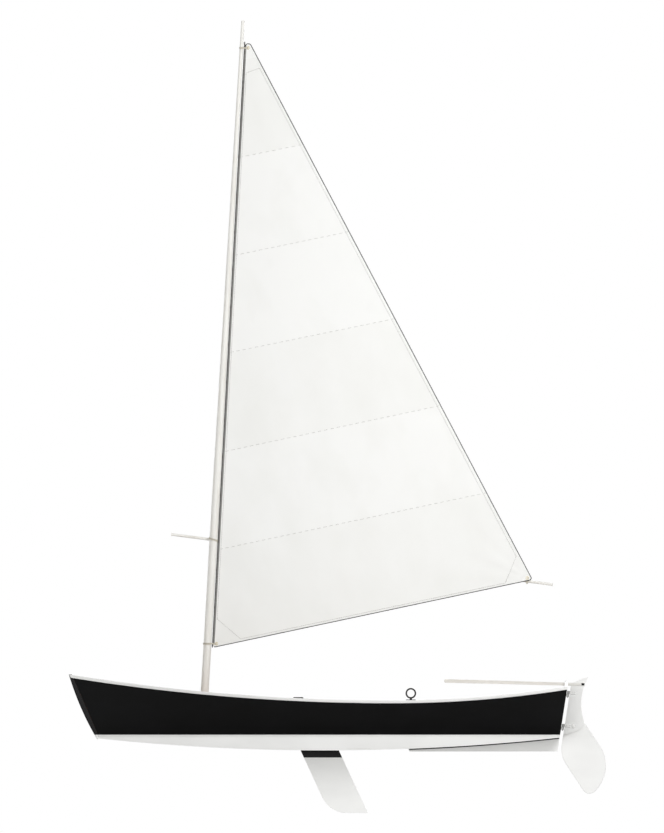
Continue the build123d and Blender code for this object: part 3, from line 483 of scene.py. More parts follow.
def ropeTree():
    # Strands laid round a line; their sizes are shares of the rope's diameter and lay
    tree, given = newTree("laidRope", (("Diameter", "Float"), ("Lay", "Float"), ("Finish", "Material")))
    scaled = {}
    for label, source, share in (
        ("step", "Lay", strand["stepShare"]),
        ("reach", "Diameter", strand["helixShare"]),
        ("radius", "Diameter", strand["radiusShare"]),
    ):
        inputs = {0: given[source], 1: share}
        scaled[label] = addNode(tree, "ShaderNodeMath", inputs, operation="MULTIPLY").outputs[0]
    inputs = {"Geometry": evenLine(tree, given["Geometry"], scaled["step"]), "Amount": strand["perRope"]}
    strands = addNode(tree, "GeometryNodeDuplicateElements", inputs, domain="SPLINE").outputs
    along = addNode(tree, "GeometryNodeSplineParameter").outputs["Length"]
    turns = addNode(tree, "ShaderNodeMath", {0: along, 1: given["Lay"]}, operation="DIVIDE")
    inputs = {0: strands["Duplicate Index"], 1: strand["perRope"]}
    phase = addNode(tree, "ShaderNodeMath", inputs, operation="DIVIDE")
    total = addNode(tree, "ShaderNodeMath", {0: turns.outputs[0], 1: phase.outputs[0]}, operation="ADD")
    angle = addNode(tree, "ShaderNodeMath", {0: total.outputs[0], 1: 2 * math.pi}, operation="MULTIPLY")
    normal = addNode(tree, "GeometryNodeInputNormal").outputs["Normal"]
    tangent = addNode(tree, "GeometryNodeInputTangent").outputs["Tangent"]
    side = addNode(tree, "ShaderNodeVectorMath", {0: tangent, 1: normal}, operation="CROSS_PRODUCT")
    moves = []
    for direction, wave in ((normal, "COSINE"), (side.outputs["Vector"], "SINE")):
        share = addNode(tree, "ShaderNodeMath", {0: angle.outputs[0]}, operation=wave)
        inputs = {0: share.outputs[0], 1: scaled["reach"]}
        reach = addNode(tree, "ShaderNodeMath", inputs, operation="MULTIPLY")
        inputs = {0: direction, "Scale": reach.outputs[0]}
        moves.append(addNode(tree, "ShaderNodeVectorMath", inputs, operation="SCALE").outputs["Vector"])
    offset = addNode(tree, "ShaderNodeVectorMath", {0: moves[0], 1: moves[1]}, operation="ADD")
    inputs = {"Geometry": strands["Geometry"], "Offset": offset.outputs["Vector"]}
    helix = addNode(tree, "GeometryNodeSetPosition", inputs).outputs["Geometry"]
    inputs = {"Resolution": strand["sides"], "Radius": scaled["radius"]}
    circle = addNode(tree, "GeometryNodeCurvePrimitiveCircle", inputs, mode="RADIUS").outputs["Curve"]
    inputs = {"Curve": helix, "Profile Curve": circle, "Fill Caps": True}
    tube = addNode(tree, "GeometryNodeCurveToMesh", inputs).outputs["Mesh"]
    shaded = addNode(tree, "GeometryNodeSetShadeSmooth", {"Geometry": tube}).outputs["Geometry"]
    return finishTree(tree, shaded, given["Finish"])


trees = {"fittings": fittingTree(), "stitches": stitchTree(), "rope": ropeTree()}


def grow(piece, treeName, values):
    tree = trees[treeName]
    modifier = piece.modifiers.new(treeName, "NODES")
    modifier.node_group = tree
    for item in tree.interface.items_tree:
        if item.item_type == "SOCKET" and item.in_out == "INPUT" and item.name in values:
            modifier[item.identifier] = values[item.name]
    applyModifiers(piece)
    return piece


def pointCloud(name, places, edges=()):
    # places holds (position, facing) pairs
    piece = newPiece(name, [place for place, facing in places], [], edges)
    attribute = piece.data.attributes.new("facing", "FLOAT_VECTOR", "POINT")
    for item, (place, facing) in zip(attribute.data, places):
        item.vector = facing
    return piece


def pathLine(name, runs):
    # runs holds lists of (position, facing); each is one line
    places, edges = [], []
    for run in runs:
        edges += [(len(places) + k, len(places) + k + 1) for k in range(len(run) - 1)]
        places += run
    return pointCloud(name, places, edges)


# Hull, daggerboard and rudder: the CAD solids with worked edges and their own finishes

dressing = {  # node, or a port and starboard pair with a star: (edge radius in mm, finish)
    "outer_stem": (2.5, "blackTopside"),
    "inner_stem": (3.0, "mahoganyX"),
    "skeg": (4.0, "whiteEnamel"),
    "chine_log_*": (3.0, "insidePaint"),
    "rub_rail_*": (4.5, "whiteEnamel"),
    "inwale_*": (4.0, "mahoganyX"),
    "seat_riser_*": (3.0, "insidePaint"),
    "breasthook": (3.0, "mahoganyY"),
    "quarter_knees": (3.0, "mahoganyX"),
    "frame_forward": (3.0, "insidePaint"),
    "frame_middle": (3.0, "insidePaint"),
    "frame_aft": (3.0, "insidePaint"),
    "mast_thwart": (4.0, "mahoganyY"),
    "centre_thwart": (5.0, "mahoganyY"),
    "stern_thwart": (5.0, "mahoganyY"),
    "mast_step": (3.0, "mahoganyX"),
    "trunk_post_forward": (1.5, "insidePaint"),
    "trunk_post_aft": (1.5, "insidePaint"),
    "trunk_cheek_*": (3.0, "insidePaint"),
    "trunk_cap": (4.0, "mahoganyX"),
    "gudgeons": (0.8, "paleSteel"),
    "rowlock_sockets": (1.0, "darkBronze"),
    "daggerboard": (7.0, "boardPaint"),
    "board_handle": (3.0, "blackEnamel"),
    "rudder_cheek_*": (3.0, "rudderPaint"),
    "rudder_core": (0.6, "rudderPaint"),
    "tiller": (4.5, "spruceX"),
    "rudder_pivot_bolt": (0.8, "paleSteel"),
    "pintles": (0.8, "paleSteel"),
    "rudder_blade": (6.0, "rudderPaint"),
}
crown = {"fromZ": 0.400, "edgeMm": 8.0}  # the transom's rounded top, painted white


def dressNode(node, radiusMm, finishNames, pick=None, segments=2):
    piece = newPiece(node + "_finished", *meshOfNode(node))
    cleanMesh(piece, coplanarDegrees=0.8)
    roundEdges(piece, radiusMm, segments)
    paintFaces(piece, finishNames, pick)
    settle(piece, bodyOf[node], slotOf[node], node)


def dressTimber():
    for name, (radiusMm, finishName) in dressing.items():
        sides = ("port", "starboard") if "*" in name else ("",)
        for side in sides:
            dressNode(name.replace("*", side), radiusMm, [finishName], segments=3 if radiusMm >= 3 else 2)


def dressPlanks():
    # Outside black over white, inside satin, the top edge white between rail and inwale
    for node, outward in (("side_plank_port", 1), ("side_plank_starboard", -1)):

        def pick(face):
            if face.normal.z > 0.6:
                return 2
            return 0 if face.normal.y * outward > 0 else 1

        dressNode(node, 1.0, ["blackTopside", "insidePaint", "whiteEnamel"], pick)


def dressTransom():
    # Black outside below the rail, its rounded crown white, satin inside
    def pick(face):
        if face.center.z > crown["fromZ"] and (abs(face.normal.x) < 0.93 or face.normal.z > 0.5):
            return 2
        return 0 if face.normal.x < 0 else 1

    dressNode("transom", crown["edgeMm"], ["blackTopside", "insidePaint", "whiteEnamel"], pick, segments=4)


dressTimber()
dressPlanks()
dressNode("bottom_panel", 2.0, ["whiteEnamel", "insidePaint"], lambda face: int(face.normal.z > 0.5))
dressTransom()
print("hull, board and rudder dressed")

# Spars

mast = {
    "x": 0.945,  # the axis on the waterline
    "rake": math.radians(3.265),
    "heel": -0.048,
    "top": 5.845,
    "radius": 0.0325,
    "headRadius": 0.0135,
    "taperFrom": 1.935,
    "heelEdge": 0.003,
    "headRound": 0.008,
}
sprit = {
    "fore": (1.1966, -0.0524, 1.6532),  # the ends of its axis
    "aft": (-1.9088, -0.020, 1.2439),
    "radius": 0.016,  # at its ends; between them it is thinner by the step
    "endStep": 0.005,
}


def makeMast():
    profile = [(mast["heel"], mast["radius"] - mast["heelEdge"])]
    profile.append((mast["heel"] + mast["heelEdge"], mast["radius"]))
    profile.append((mast["taperFrom"], mast["radius"]))
    for k in range(6):
        turn = math.pi / 2 * k / 5
        along = mast["top"] - mast["headRound"] * (1 - math.sin(turn))
        profile.append((along, mast["headRadius"] - mast["headRound"] * (1 - math.cos(turn))))
    axis = (-math.sin(mast["rake"]), 0, math.cos(mast["rake"]))
    spar = lathe("mast_finished", profile, (mast["x"], 0, 0), axis, segments=40)
    paintFaces(spar, ["spruceZ"])
    settle(spar, bodyOf["mast"], slotOf["mast"], "mast")


def makeSprit():
    fore, aft = Vector(sprit["fore"]), Vector(sprit["aft"])
    length = (aft - fore).length
    steps = [sprit["endStep"] * (1 - math.cos(math.pi / 2 * k / 4)) for k in range(5)]
    profile = [(step, sprit["radius"] - step) for step in steps]
    profile += [(length - along, radius) for along, radius in reversed(profile)]
    spar = lathe("sprit_finished", profile, fore, aft - fore, segments=32)
    paintFaces(spar, ["spruceX"])
    settle(spar, bodyOf["sprit"], slotOf["sprit"], "sprit")


makeMast()
makeSprit()
print("spars turned")

# Sail: its corners and marks are (x, z) in profile

sail = {
    "tack": (0.8559, 0.733),
    "clew": (-1.742, 1.285),
    "leechHead": (0.551, 5.641),
    "head": (0.5925, 5.662),
    "belly": 0.120,
    "gridMm": 30.0,
    "clothMm": 0.9,
    "edgeMm": 2.0,
    "edgeGridMm": 13.0,
    "seamMm": 1.7,
    "seamWidthMm": 16.0,
    "tapeMm": 2.8,
    "tapeWidthMm": 10.5,
    "tapeGridMm": 9.0,
    "tapeEndsMm": 26.0,
    "cornerMm": (14.0, 16.0, 20.0, 26.0),
}
sailMarks = {
    "tabling": (  # corners of its inner line: two at the tack, two at the clew, two at the head
        (0.8223, 0.9638),
        (0.6325, 0.8018),
        (-1.5230, 1.2569),
        (-1.6118, 1.4726),
        (0.4778, 5.4488),
        (0.5861, 5.4081),
    ),
    "seams": (  # each from luff to leech
        ((0.6284, 4.7243), (0.1482, 4.8220)),
        ((0.6691, 3.9266), (-0.2344, 4.1138)),
        ((0.7017, 3.1370), (-0.6089, 3.4056)),
        ((0.7424, 2.3311), (-0.9752, 2.6974)),
        ((0.7912, 1.5336), (-1.3578, 1.9894)),
    ),
}
creases = {
    "heightMm": 4.0,
    "corners": (("clew", 1.0, 16.0), ("tack", 0.8, 15.0), ("head", 0.6, 20.0)),  # pull, folds round it
    "cornerReach": 0.75,  # metres over which the folds die away
    "cornerStart": 0.25,
    "fadeAtEdge": 0.22,
    "unevenness": 0.45,
    "edgeWaves": 0.30,
    "waveTurn": 10.5,  # radians for each metre of height
    "edgeReach": 0.30,
}
tack, head = Vector(sail["tack"]), Vector(sail["head"])
luffWay = (head - tack).normalized()
aftWay = Vector((-luffWay.y, luffWay.x))
sailCorners = [Vector(sail[name]) for name in ("tack", "clew", "leechHead", "head")]
tablingLine = [Vector(mark) for mark in sailMarks["tabling"]]


def sailDepth(x, z):
    # How far the cloth's arc from luff to leech stands to port of the centreline
    chord = (Vector(sail["clew"]) - tack).dot(aftWay)
    radius = (chord**2 / 4 + sail["belly"] ** 2) / (2 * sail["belly"])
    reach = (Vector((x, z)) - tack).dot(aftWay)
    return sail["belly"] - radius + math.sqrt(radius**2 - (reach - chord / 2) ** 2)


def edgeDistance(point, outline):
    best = 9.0
    for k in range(len(outline)):
        a, b = Vector(outline[k - 1]), Vector(outline[k])
        along = max(0.0, min(1.0, (point - a).dot(b - a) / (b - a).length_squared))
        best = min(best, (point - a - (b - a) * along).length)
    return best


def creaseAt(x, z):
    # Folds that fan out of the corners, a slow unevenness and small waves near the edges
    point = Vector((x, z))
    edge = edgeDistance(point, sailCorners)
    fade = min(1.0, edge / creases["fadeAtEdge"])
    fade = fade * fade * (3 - 2 * fade)
    height = 0.0
    for corner, pull, folds in creases["corners"]:
        away = point - Vector(sail[corner])
        reach = away.length
        fan = math.atan2(away.y, away.x)
        grown = min(1.0, reach / creases["cornerStart"])
        height += pull * math.sin(fan * folds) * math.exp(-reach / creases["cornerReach"]) * grown
    height += creases["unevenness"] * noise.noise(Vector((x * 1.3, z * 1.1, 4.2)))
    wave = math.sin(z * creases["waveTurn"]) * math.exp(-edge / creases["edgeReach"])
    return fade * (height + creases["edgeWaves"] * wave) * creases["heightMm"] / 1000


def onSail(x, z, offset=0.0):
    return Vector((x, sailDepth(x, z) + creaseAt(x, z) + offset, z))


def roundCorner(before, corner, after, radius, steps=7):
    a = (before - corner).normalized()
    b = (after - corner).normalized()
    half = math.acos(max(-1.0, min(1.0, a.dot(b)))) / 2
    centre = corner + (a + b).normalized() * radius / math.sin(half)
    start = corner + a * radius / math.tan(half) - centre
    end = corner + b * radius / math.tan(half) - centre
    turn = start.angle_signed(end)
    points = []
    for k in range(steps + 1):
        angle = -turn * k / steps
        cos, sin = math.cos(angle), math.sin(angle)
        points.append(centre + Vector((start.x * cos - start.y * sin, start.x * sin + start.y * cos)))
    return points


def roundedOutline():
    points = []
    for k, radiusMm in enumerate(sail["cornerMm"]):
        before, corner, after = sailCorners[k - 1], sailCorners[k], sailCorners[(k + 1) % 4]
        points += roundCorner(before, corner, after, radiusMm / 1000)
    return points


def subdivided(points, stepM, closed=True):
    ends = [*points[1:], points[0]] if closed else points[1:]
    fine = []
    for start, end in zip(points, ends):
        count = max(1, int((end - start).length / stepM))
        fine += [start + (end - start) * j / count for j in range(count)]
    return fine if closed else [*fine, points[-1]]


def insidePolygon(point, polygon):
    inside = False
    for k in range(len(polygon)):
        a, b = polygon[k - 1], polygon[k]
        if (a.y > point.y) != (b.y > point.y):
            if point.x < (b.x - a.x) * (point.y - a.y) / (b.y - a.y) + a.x:
                inside = not inside
    return inside


def inCloth(point, outline, hole):
    return insidePolygon(point, outline) and not (hole and insidePolygon(point, hole))


def faceToPort(piece):
    work = bmesh.new()
    work.from_mesh(piece.data)
    bmesh.ops.delete(work, geom=[v for v in work.verts if not v.link_faces], context="VERTS")
    bmesh.ops.recalc_face_normals(work, faces=work.faces)
    if sum(face.normal.y for face in work.faces) < 0:
        bmesh.ops.reverse_faces(work, faces=work.faces)
    work.to_mesh(piece.data)
    work.free()


def layCutMap(piece):
    # UV in metres along and across the cut, measured from the tack along the foot
    foot = (Vector(sail["clew"]) - tack).normalized()
    up = Vector((foot.y, -foot.x))
    layer = piece.data.uv_layers.new(name="cut")
    for loop in piece.data.loops:
        place = piece.data.vertices[loop.vertex_index].co
        away = Vector((place.x, place.z)) - tack
        layer.data[loop.index].uv = (away.dot(foot), away.dot(up))


def clothSheet(name, outline, hole, thicknessMm, gridMm, finishName="sailcloth"):
    # A sheet cut to an outline in profile, open inside a hole's outline, and laid on the sail's curve
    step = gridMm / 1000
    rims = [rim for rim in (outline, hole) if rim]
    points, edges = [], []
    for rim in rims:
        loop, start = subdivided(rim, step), len(points)
        points += loop
        edges += [(start + k, start + (k + 1) % len(loop)) for k in range(len(loop))]
    lowX, highX = min(p.x for p in points), max(p.x for p in points)
    lowZ, highZ = min(p.y for p in points), max(p.y for p in points)
    for row in range(1, int((highZ - lowZ) / step)):
        shift = 0.5 * (row % 2)
        for column in range(int((highX - lowX) / step)):
            spot = Vector((lowX + (column + shift) * step, lowZ + row * step))
            if inCloth(spot, outline, hole) and all(edgeDistance(spot, rim) >= step * 0.5 for rim in rims):
                points.append(spot)
    flat, _, faces, _, _, _ = delaunay_2d_cdt(points, edges, [], 1, 1e-6)
    kept = []
    for face in faces:
        middle = sum((flat[k] for k in face), Vector((0, 0))) / len(face)
        if inCloth(middle, outline, hole):
            kept.append(tuple(face))
    piece = newPiece(name, [onSail(p.x, p.y) for p in flat], kept)
    faceToPort(piece)
    layCutMap(piece)
    thick = piece.modifiers.new("thickness", "SOLIDIFY")
    thick.thickness = thicknessMm / 1000
    thick.offset = 0.0
    applyModifiers(piece)
    smooth(piece, 50)
    paintFaces(piece, [finishName])
    return piece


def makeSeam(name, start, end):
    # A narrow doubled strip between two points
    start, end = Vector(start), Vector(end)
    direction = (end - start).normalized()
    side = Vector((-direction.y, direction.x)) * sail["seamWidthMm"] / 2000
    outline = [start - side, end - side, end + side, start + side]
    return clothSheet(name, outline, None, sail["seamMm"], sail["seamWidthMm"] * 0.7)


def makeLuffTape():
    # A strip along the luff, narrower than the tabling
    inset = luffWay * sail["tapeEndsMm"] / 1000
    inner, outer = aftWay * sail["tapeWidthMm"] / 1000, -aftWay * 0.0005
    low, high = tack + inset, head - inset
    outline = [low + outer, low + inner, high + inner, high + outer]
    return clothSheet("sail_luff_tape", outline, None, sail["tapeMm"], sail["tapeGridMm"], "webbing")


def makeSail():
    outline = roundedOutline()
    main = clothSheet("sail_cloth", outline, None, sail["clothMm"], sail["gridMm"])
    extras = [clothSheet("sail_tabling", outline, tablingLine, sail["edgeMm"], sail["edgeGridMm"])]
    for k, (start, end) in enumerate(sailMarks["seams"]):
        extras.append(makeSeam(f"sail_seam_{k + 1}", start, end))
    extras.append(makeLuffTape())
    settle(main, "rig", "sailcloth", "sail")
    for extra in extras:
        settle(extra, "rig", "sailcloth")
    return main, extras


stitching = {
    "widthMm": 5.0,
    "threadMm": 1.6,
    "tabling": {"lengthMm": 11.0, "zigs": 3, "everyMm": 15.0},
    "seam": {"lengthMm": 28.0, "zigs": 7, "everyMm": 51.0},
}


def stitchMesh(name, lengthMm, zigs):
    # A zigzag stitch of three-sided thread, flat in its own XY plane
    halfWidth, half = stitching["widthMm"] / 2000, stitching["threadMm"] / 2000
    points = []
    for k in range(zigs + 1):
        points.append(((k / zigs - 0.5) * lengthMm / 1000, halfWidth if k % 2 else -halfWidth))
    vertices, faces = [], []
    for (x0, y0), (x1, y1) in zip(points, points[1:]):
        way = Vector((x1 - x0, y1 - y0)).normalized()
        side = Vector((-way.y, way.x)) * half
        base = len(vertices)
        for x, y in ((x0, y0), (x1, y1)):
            vertices += [(x - side.x, y - side.y, 0), (x, y, half), (x + side.x, y + side.y, 0)]
        for face in ((0, 3, 4, 1), (1, 4, 5, 2), (2, 5, 3, 0), (0, 1, 2), (5, 4, 3)):
            faces.append(tuple(base + corner for corner in face))
    piece = newPiece(name, vertices, faces)
    cleanMesh(piece, mergeMm=0.0001)
    return piece


def stitchRun(points, side, thicknessMm):
    fine = subdivided(points, 0.05, closed=False)
    return [(onSail(spot.x, spot.y, side * thicknessMm / 2000), (0, side, 0)) for spot in fine]


def makeStitches():
    sides = (1, -1)
    loop = [*tablingLine, tablingLine[0]]
    seams = [[Vector(start), Vector(end)] for start, end in sailMarks["seams"]]
    runs = {
        "tabling": [stitchRun(loop, side, sail["edgeMm"]) for side in sides],
        "seam": [stitchRun(seam, side, sail["seamMm"]) for seam in seams for side in sides],
    }
    made = []
    for kind, kindRuns in runs.items():
        size = stitching[kind]
        stitch = stitchMesh(kind + "Stitch", size["lengthMm"], size["zigs"])
        values = {"Stitch": stitch, "Spacing": size["everyMm"] / 1000, "Finish": finish["thread"]}
        line = grow(pathLine(kind + "_stitches", kindRuns), "stitches", values)
        made.append(settle(line, "rig", "sailcloth"))
        bpy.data.objects.remove(stitch)
    return made


mainSail, sailExtras = makeSail()
sailStitches = makeStitches()
print("sail cut and sewn")

# Ropes

luffRope = {"diameter": 0.0099, "lay": 0.030, "gap": 0.0003}  # gap to the cloth's edge
seizing = {"every": 0.30, "fromEnds": 0.02, "halfLength": 0.008, "turns": 9, "low": 0.0052, "high": 0.0058}
hemCord = {"diameter": 0.0078, "lay": 0.034}
lashing = {"diameter": 0.0046, "lay": 0.018, "turns": 3, "pitch": 0.0052}
grommet = {"radius": 0.0105, "bar": 0.0022}
eyelets = {"tack": (0.8272, 0.7628), "head": (0.5700, 5.6120), "clew": (-1.7000, 1.2970)}
clewLoop = {"clearY": 0.0055, "clearZ": 0.0115, "shiftY": 0.003, "shiftZ": 0.0065}  # round the sprit
snotter = {"x": 0.8505, "clear": 0.001}  # where the sprit crosses the mast
ropeRadius = lashing["diameter"] / 2
luffShift = Vector((luffRope["diameter"] / 2 + luffRope["gap"], 0))


def smoothRun(points, perSpan):
    # Catmull-Rom through the points, which keeps the ends
    points = [Vector(p) for p in points]
    ends = [points[0] * 2 - points[1], *points, points[-1] * 2 - points[-2]]
    run = []
    for a, b, c, d in zip(ends, ends[1:], ends[2:], ends[3:]):
        for k in range(perSpan):
            t = k / perSpan
            bend = (2 * a - 5 * b + 4 * c - d) * t**2 + (3 * b - a - 3 * c + d) * t**3
            run.append(0.5 * (2 * b + (c - a) * t + bend))
    run.append(points[-1])
    return run


def layRope(name, run, size, finishName, *replaced):
    line = pathLine(name, [[(spot, (0, 1, 0)) for spot in run]])
    grow(line, "rope", {"Diameter": size["diameter"], "Lay": size["lay"], "Finish": finish[finishName]})
    return settle(line, "rig", "rope", *replaced)


def makeLuffRope():
    ends = (tack + luffShift, head + luffShift)
    layRope("luff_rope_laid", [Vector((p.x, 0, p.y)) for p in ends], luffRope, "tarredRope", "luff_rope")


def makeHemCord():
    # A thin dark cord sewn round the foot, the leech and the head, from the middle of the tack's round
    outline = roundedOutline()
    path = outline[len(outline) // 8:]
    run = [onSail(p.x, p.y) for p in subdivided(path, 0.04, closed=False)]
    return layRope("sail_hem_cord", run, hemCord, "darkCord")


def mastCentre(z):
    return Vector((mast["x"] - z * math.tan(mast["rake"]), 0, z))


def mastRadius(z):
    along = z / math.cos(mast["rake"])
    share = max(0.0, (along - mast["taperFrom"]) / (mast["top"] - mast["taperFrom"]))
    return mast["radius"] + (mast["headRadius"] - mast["radius"]) * share


def mastLashing(name, eye):
    # Turns through an eyelet and round the mast, side by side
    x, z = eye
    reach = mastRadius(z) + ropeRadius
    eyeSpot = onSail(x, z)
    clear = ropeRadius + sail["edgeMm"] / 2000
    points = []
    for turn in range(lashing["turns"]):
        level = (turn - (lashing["turns"] - 1) / 2) * lashing["pitch"]
        centre = mastCentre(z + level)
        if turn:  # back through the eyelet from the turn before
            points.append(eyeSpot + Vector((-0.004, 0, level * 0.5 - lashing["pitch"] * 0.1)))
        points.append(eyeSpot + Vector((0, clear, level * 0.5)))
        for k in range(9):
            angle = math.radians(100 - 25 * k)
            points.append(centre + Vector((math.cos(angle) * reach, math.sin(angle) * reach, 0)))
        points.append(eyeSpot + Vector((0, -clear, level * 0.5 + lashing["pitch"] * 0.25)))
    layRope(name, smoothRun(points, 4), lashing, "paleRope")


def spritAt(x):
    fore, aft = Vector(sprit["fore"]), Vector(sprit["aft"])
    return fore + (aft - fore) * (x - fore.x) / (aft.x - fore.x)


def clewLashing():
    # Turns through the clew's eyelet and round the sprit, tall enough to take in the cloth's edge
    x = eyelets["clew"][0]
    middle = spritAt(x)
    centre = Vector((x, middle.y + clewLoop["shiftY"], middle.z + clewLoop["shiftZ"]))
    halfY, halfZ = sprit["radius"] + clewLoop["clearY"], sprit["radius"] + clewLoop["clearZ"]
    points = []
    for step in range(12 * lashing["turns"] + 1):
        angle = math.radians(60 + 30 * step)
        along = (step / 12 - lashing["turns"] / 2) * lashing["pitch"]
        points.append(centre + Vector((along, math.cos(angle) * halfY, math.sin(angle) * halfZ)))
    layRope("clew_lashing", smoothRun(points, 3), lashing, "paleRope")


def makeSnotter():
    # Turns round the mast that cross over the sprit's outer side and hold it up
    spar = spritAt(snotter["x"])
    reach = mast["radius"] + ropeRadius
    out = spar.y - sprit["radius"] - ropeRadius
    drop = sprit["radius"] + ropeRadius + snotter["clear"]
    over = ((0.030, -0.019), (0.021, spar.y), (0.006, out))  # from the mast's side to the sprit's outer side
    points = []
    for turn in range(lashing["turns"]):
        shift = (turn - (lashing["turns"] - 1) / 2) * lashing["pitch"]
        for side in (-1, 1):
            for away, y in over[::-side]:
                sink = 1.0 if y > out else 0.35
                points.append((snotter["x"] + side * away, y, spar.z + side * drop * sink + shift))
        for k in range(8):
            angle = math.radians(-15 + 30 * k)
            level = spar.z + drop - 2 * drop * k / 7 + shift + lashing["pitch"] * k / 7
            centre = mastCentre(level)
            points.append((centre.x + math.cos(angle) * reach, math.sin(angle) * reach, level))
    layRope("snotter_turns", smoothRun(points, 4), lashing, "paleRope")


def ringMesh(name, radius, bar, around=28, across=10):
    # A ring lying in its own XY plane
    vertices, faces = [], []
    for k in range(around):
        turn = 2 * math.pi * k / around
        for j in range(across):
            tilt = 2 * math.pi * j / across
            reach = radius + bar * math.cos(tilt)
            vertices.append((reach * math.cos(turn), reach * math.sin(turn), bar * math.sin(tilt)))
    for k in range(around):
        start, after = k * across, (k + 1) % around * across
        for j in range(across):
            beside = (j + 1) % across
            faces.append((start + j, after + j, after + beside, start + beside))
    piece = newPiece(name, vertices, faces)
    piece.data.shade_smooth()
    return piece


def placeFittings(name, places, fitting, finishName, body, slot):
    cloud = pointCloud(name, places)
    grow(cloud, "fittings", {"Fitting": fitting, "Finish": finish[finishName]})
    print(name, "placed:", len(places))
    return settle(cloud, body, slot)


def makeGrommets():
    ring = ringMesh("eyeletRing", grommet["radius"], grommet["bar"])
    places = []
    for x, z in eyelets.values():
        for side in (1, -1):
            places.append((onSail(x, z, side * sail["edgeMm"] / 2000), (0, side, 0)))
    made = placeFittings("sail_eyelets", places, ring, "brass", "rig", "sailcloth")
    bpy.data.objects.remove(ring)
    return made


def makeSeizings():
    # Short whippings that hold the luff rope to the tape
    profile = []
    for k in range(seizing["turns"]):
        along = seizing["halfLength"] * (2 * k / (seizing["turns"] - 1) - 1)
        profile.append((along, seizing["high"] if k % 2 else seizing["low"]))
    band = lathe("seizingBand", profile, (0, 0, 0), (0, 0, 1), segments=14)
    length = (head - tack).length
    count = round(length / seizing["every"])
    places = []
    for k in range(count + 1):
        along = seizing["fromEnds"] + (length - 2 * seizing["fromEnds"]) * k / count
        spot = tack + luffShift + luffWay * along
        places.append((Vector((spot.x, 0, spot.y)), Vector((luffWay.x, 0, luffWay.y))))
    placeFittings("luff_seizings", places, band, "tarredRope", "rig", "rope")
    bpy.data.objects.remove(band)


makeLuffRope()
sailRopes = [makeHemCord(), makeGrommets()]
makeSeizings()
mastLashing("tack_lashing", eyelets["tack"])
mastLashing("head_lashing", eyelets["head"])
clewLashing()
makeSnotter()
print("ropes laid")

# Rowlocks

rowlock = {
    "x": -0.754,
    "ringZ": 0.359,
    "ringRadius": 0.037,
    "barRadius": 0.0065,
    "pinRadius": 0.006,
    "collarRadius": 0.010,
    "collarHeight": 0.009,
}


def makeRowlocks():
    pin, collar = rowlock["pinRadius"], rowlock["collarRadius"]
    ringFoot = rowlock["ringZ"] - rowlock["ringRadius"]
    collarTop = ringFoot - rowlock["barRadius"] * 0.4
    collarLow = collarTop - rowlock["collarHeight"]
    for node in ("rowlock_port", "rowlock_starboard"):
        low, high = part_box(node)
        y = (low.y + high.y) / 2
        ring = ringMesh(node + "_ring", rowlock["ringRadius"], rowlock["barRadius"], 56, 20)
        for vertex in ring.data.vertices:
            across, up, out = vertex.co
            vertex.co = (rowlock["x"] + across, y + out, rowlock["ringZ"] + up)
        ring.data.update()
        profile = (
            (low.z, pin * 0.7),
            (low.z + 0.002, pin),
            (collarLow - 0.004, pin),
            (collarLow - 0.002, collar),
            (collarLow + 0.003, collar),
            (collarTop - 0.002, pin * 1.15),
            (ringFoot + 0.004, pin * 0.8),
        )
        stalk = lathe(node + "_stalk", profile, (rowlock["x"], y, 0), (0, 0, 1), segments=28)
        for piece in (ring, stalk):
            paintFaces(piece, ["darkBronze"])
            settle(piece, node, slotOf[node])
        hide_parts(node)


makeRowlocks()
print("rowlocks cast")

# Small fastenings, on places found by casting rays on the CAD nodes

fastening = {
    "plugMm": 10.0,
    "plugInset": 0.024,
    "capInset": 0.012,
    "screwMm": 8.0,
    "strapHeight": 0.024,
    "pintleStep": 0.2712,
    "pintleReaches": (0.018, 0.038),  # behind the rudder's front edge
    "gudgeonYs": (-0.030, -0.018, 0.018, 0.030),
    "socketReach": 0.028,
    "socketInset": 0.024,
}
rudderFront = {"x": -1.9916, "rake": math.radians(8.8)}  # its front edge, from the waterline


def screwHead(name, diameterMm, riseMm):
    # A low domed head
    radius, rise = diameterMm / 2000, riseMm / 1000
    profile = [(-0.0004, radius)]
    for height, share in ((0.3, 0.96), (0.8, 0.6), (1.0, 0.12)):
        profile.append((rise * height, radius * share))
    return lathe(name, profile, (0, 0, 0), (0, 0, 1), segments=14)


def seatPlugs():
    # Wooden plugs over the screws along each thwart's ends and the trunk cap's sides
    places = []
    up = Vector((0, 0, 1))
    for node in ("centre_thwart", "stern_thwart", "mast_thwart"):
        low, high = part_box(node)
        bvh = treeOf(node)
        shares = (0.14, 0.86) if node == "mast_thwart" else (0.14, 0.5, 0.86)
        for side in (1, -1):
            for share in shares:
                x = low.x + (high.x - low.x) * share
                edge = castOn(bvh, (x, side * 1.2, (low.z + high.z) / 2), (0, -side, 0))
                if edge:
                    places.append((Vector((x, edge[0].y - side * fastening["plugInset"], high.z)), up))
    low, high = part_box("trunk_cap")
    for side in (1, -1):
        for share in (0.12, 0.37, 0.62, 0.87):
            x = low.x + (high.x - low.x) * share
            places.append((Vector((x, side * (high.y - fastening["capInset"]), high.z)), up))
    return places


def gudgeonScrews():
    bvh = treeOf("gudgeons")
    low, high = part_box("gudgeons")
    half = fastening["strapHeight"] / 2
    hits = []
    for z in (low.z + half, high.z - half):
        hits += [castOn(bvh, (-2.3, y, z), (1, 0, 0)) for y in fastening["gudgeonYs"]]
    return [hit for hit in hits if hit]


def pintleScrews():
    bvh = treeOf("pintles")
    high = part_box("pintles")[1]
    hits = []
    for step in (0.0, fastening["pintleStep"]):
        z = high.z - step - fastening["strapHeight"] / 2
        front = rudderFront["x"] - z * math.tan(rudderFront["rake"])
        for side in (1, -1):
            for reach in fastening["pintleReaches"]:
                hits.append(castOn(bvh, (front - reach, side * 0.2, z), (0, -side, 0)))
    return [hit for hit in hits if hit]


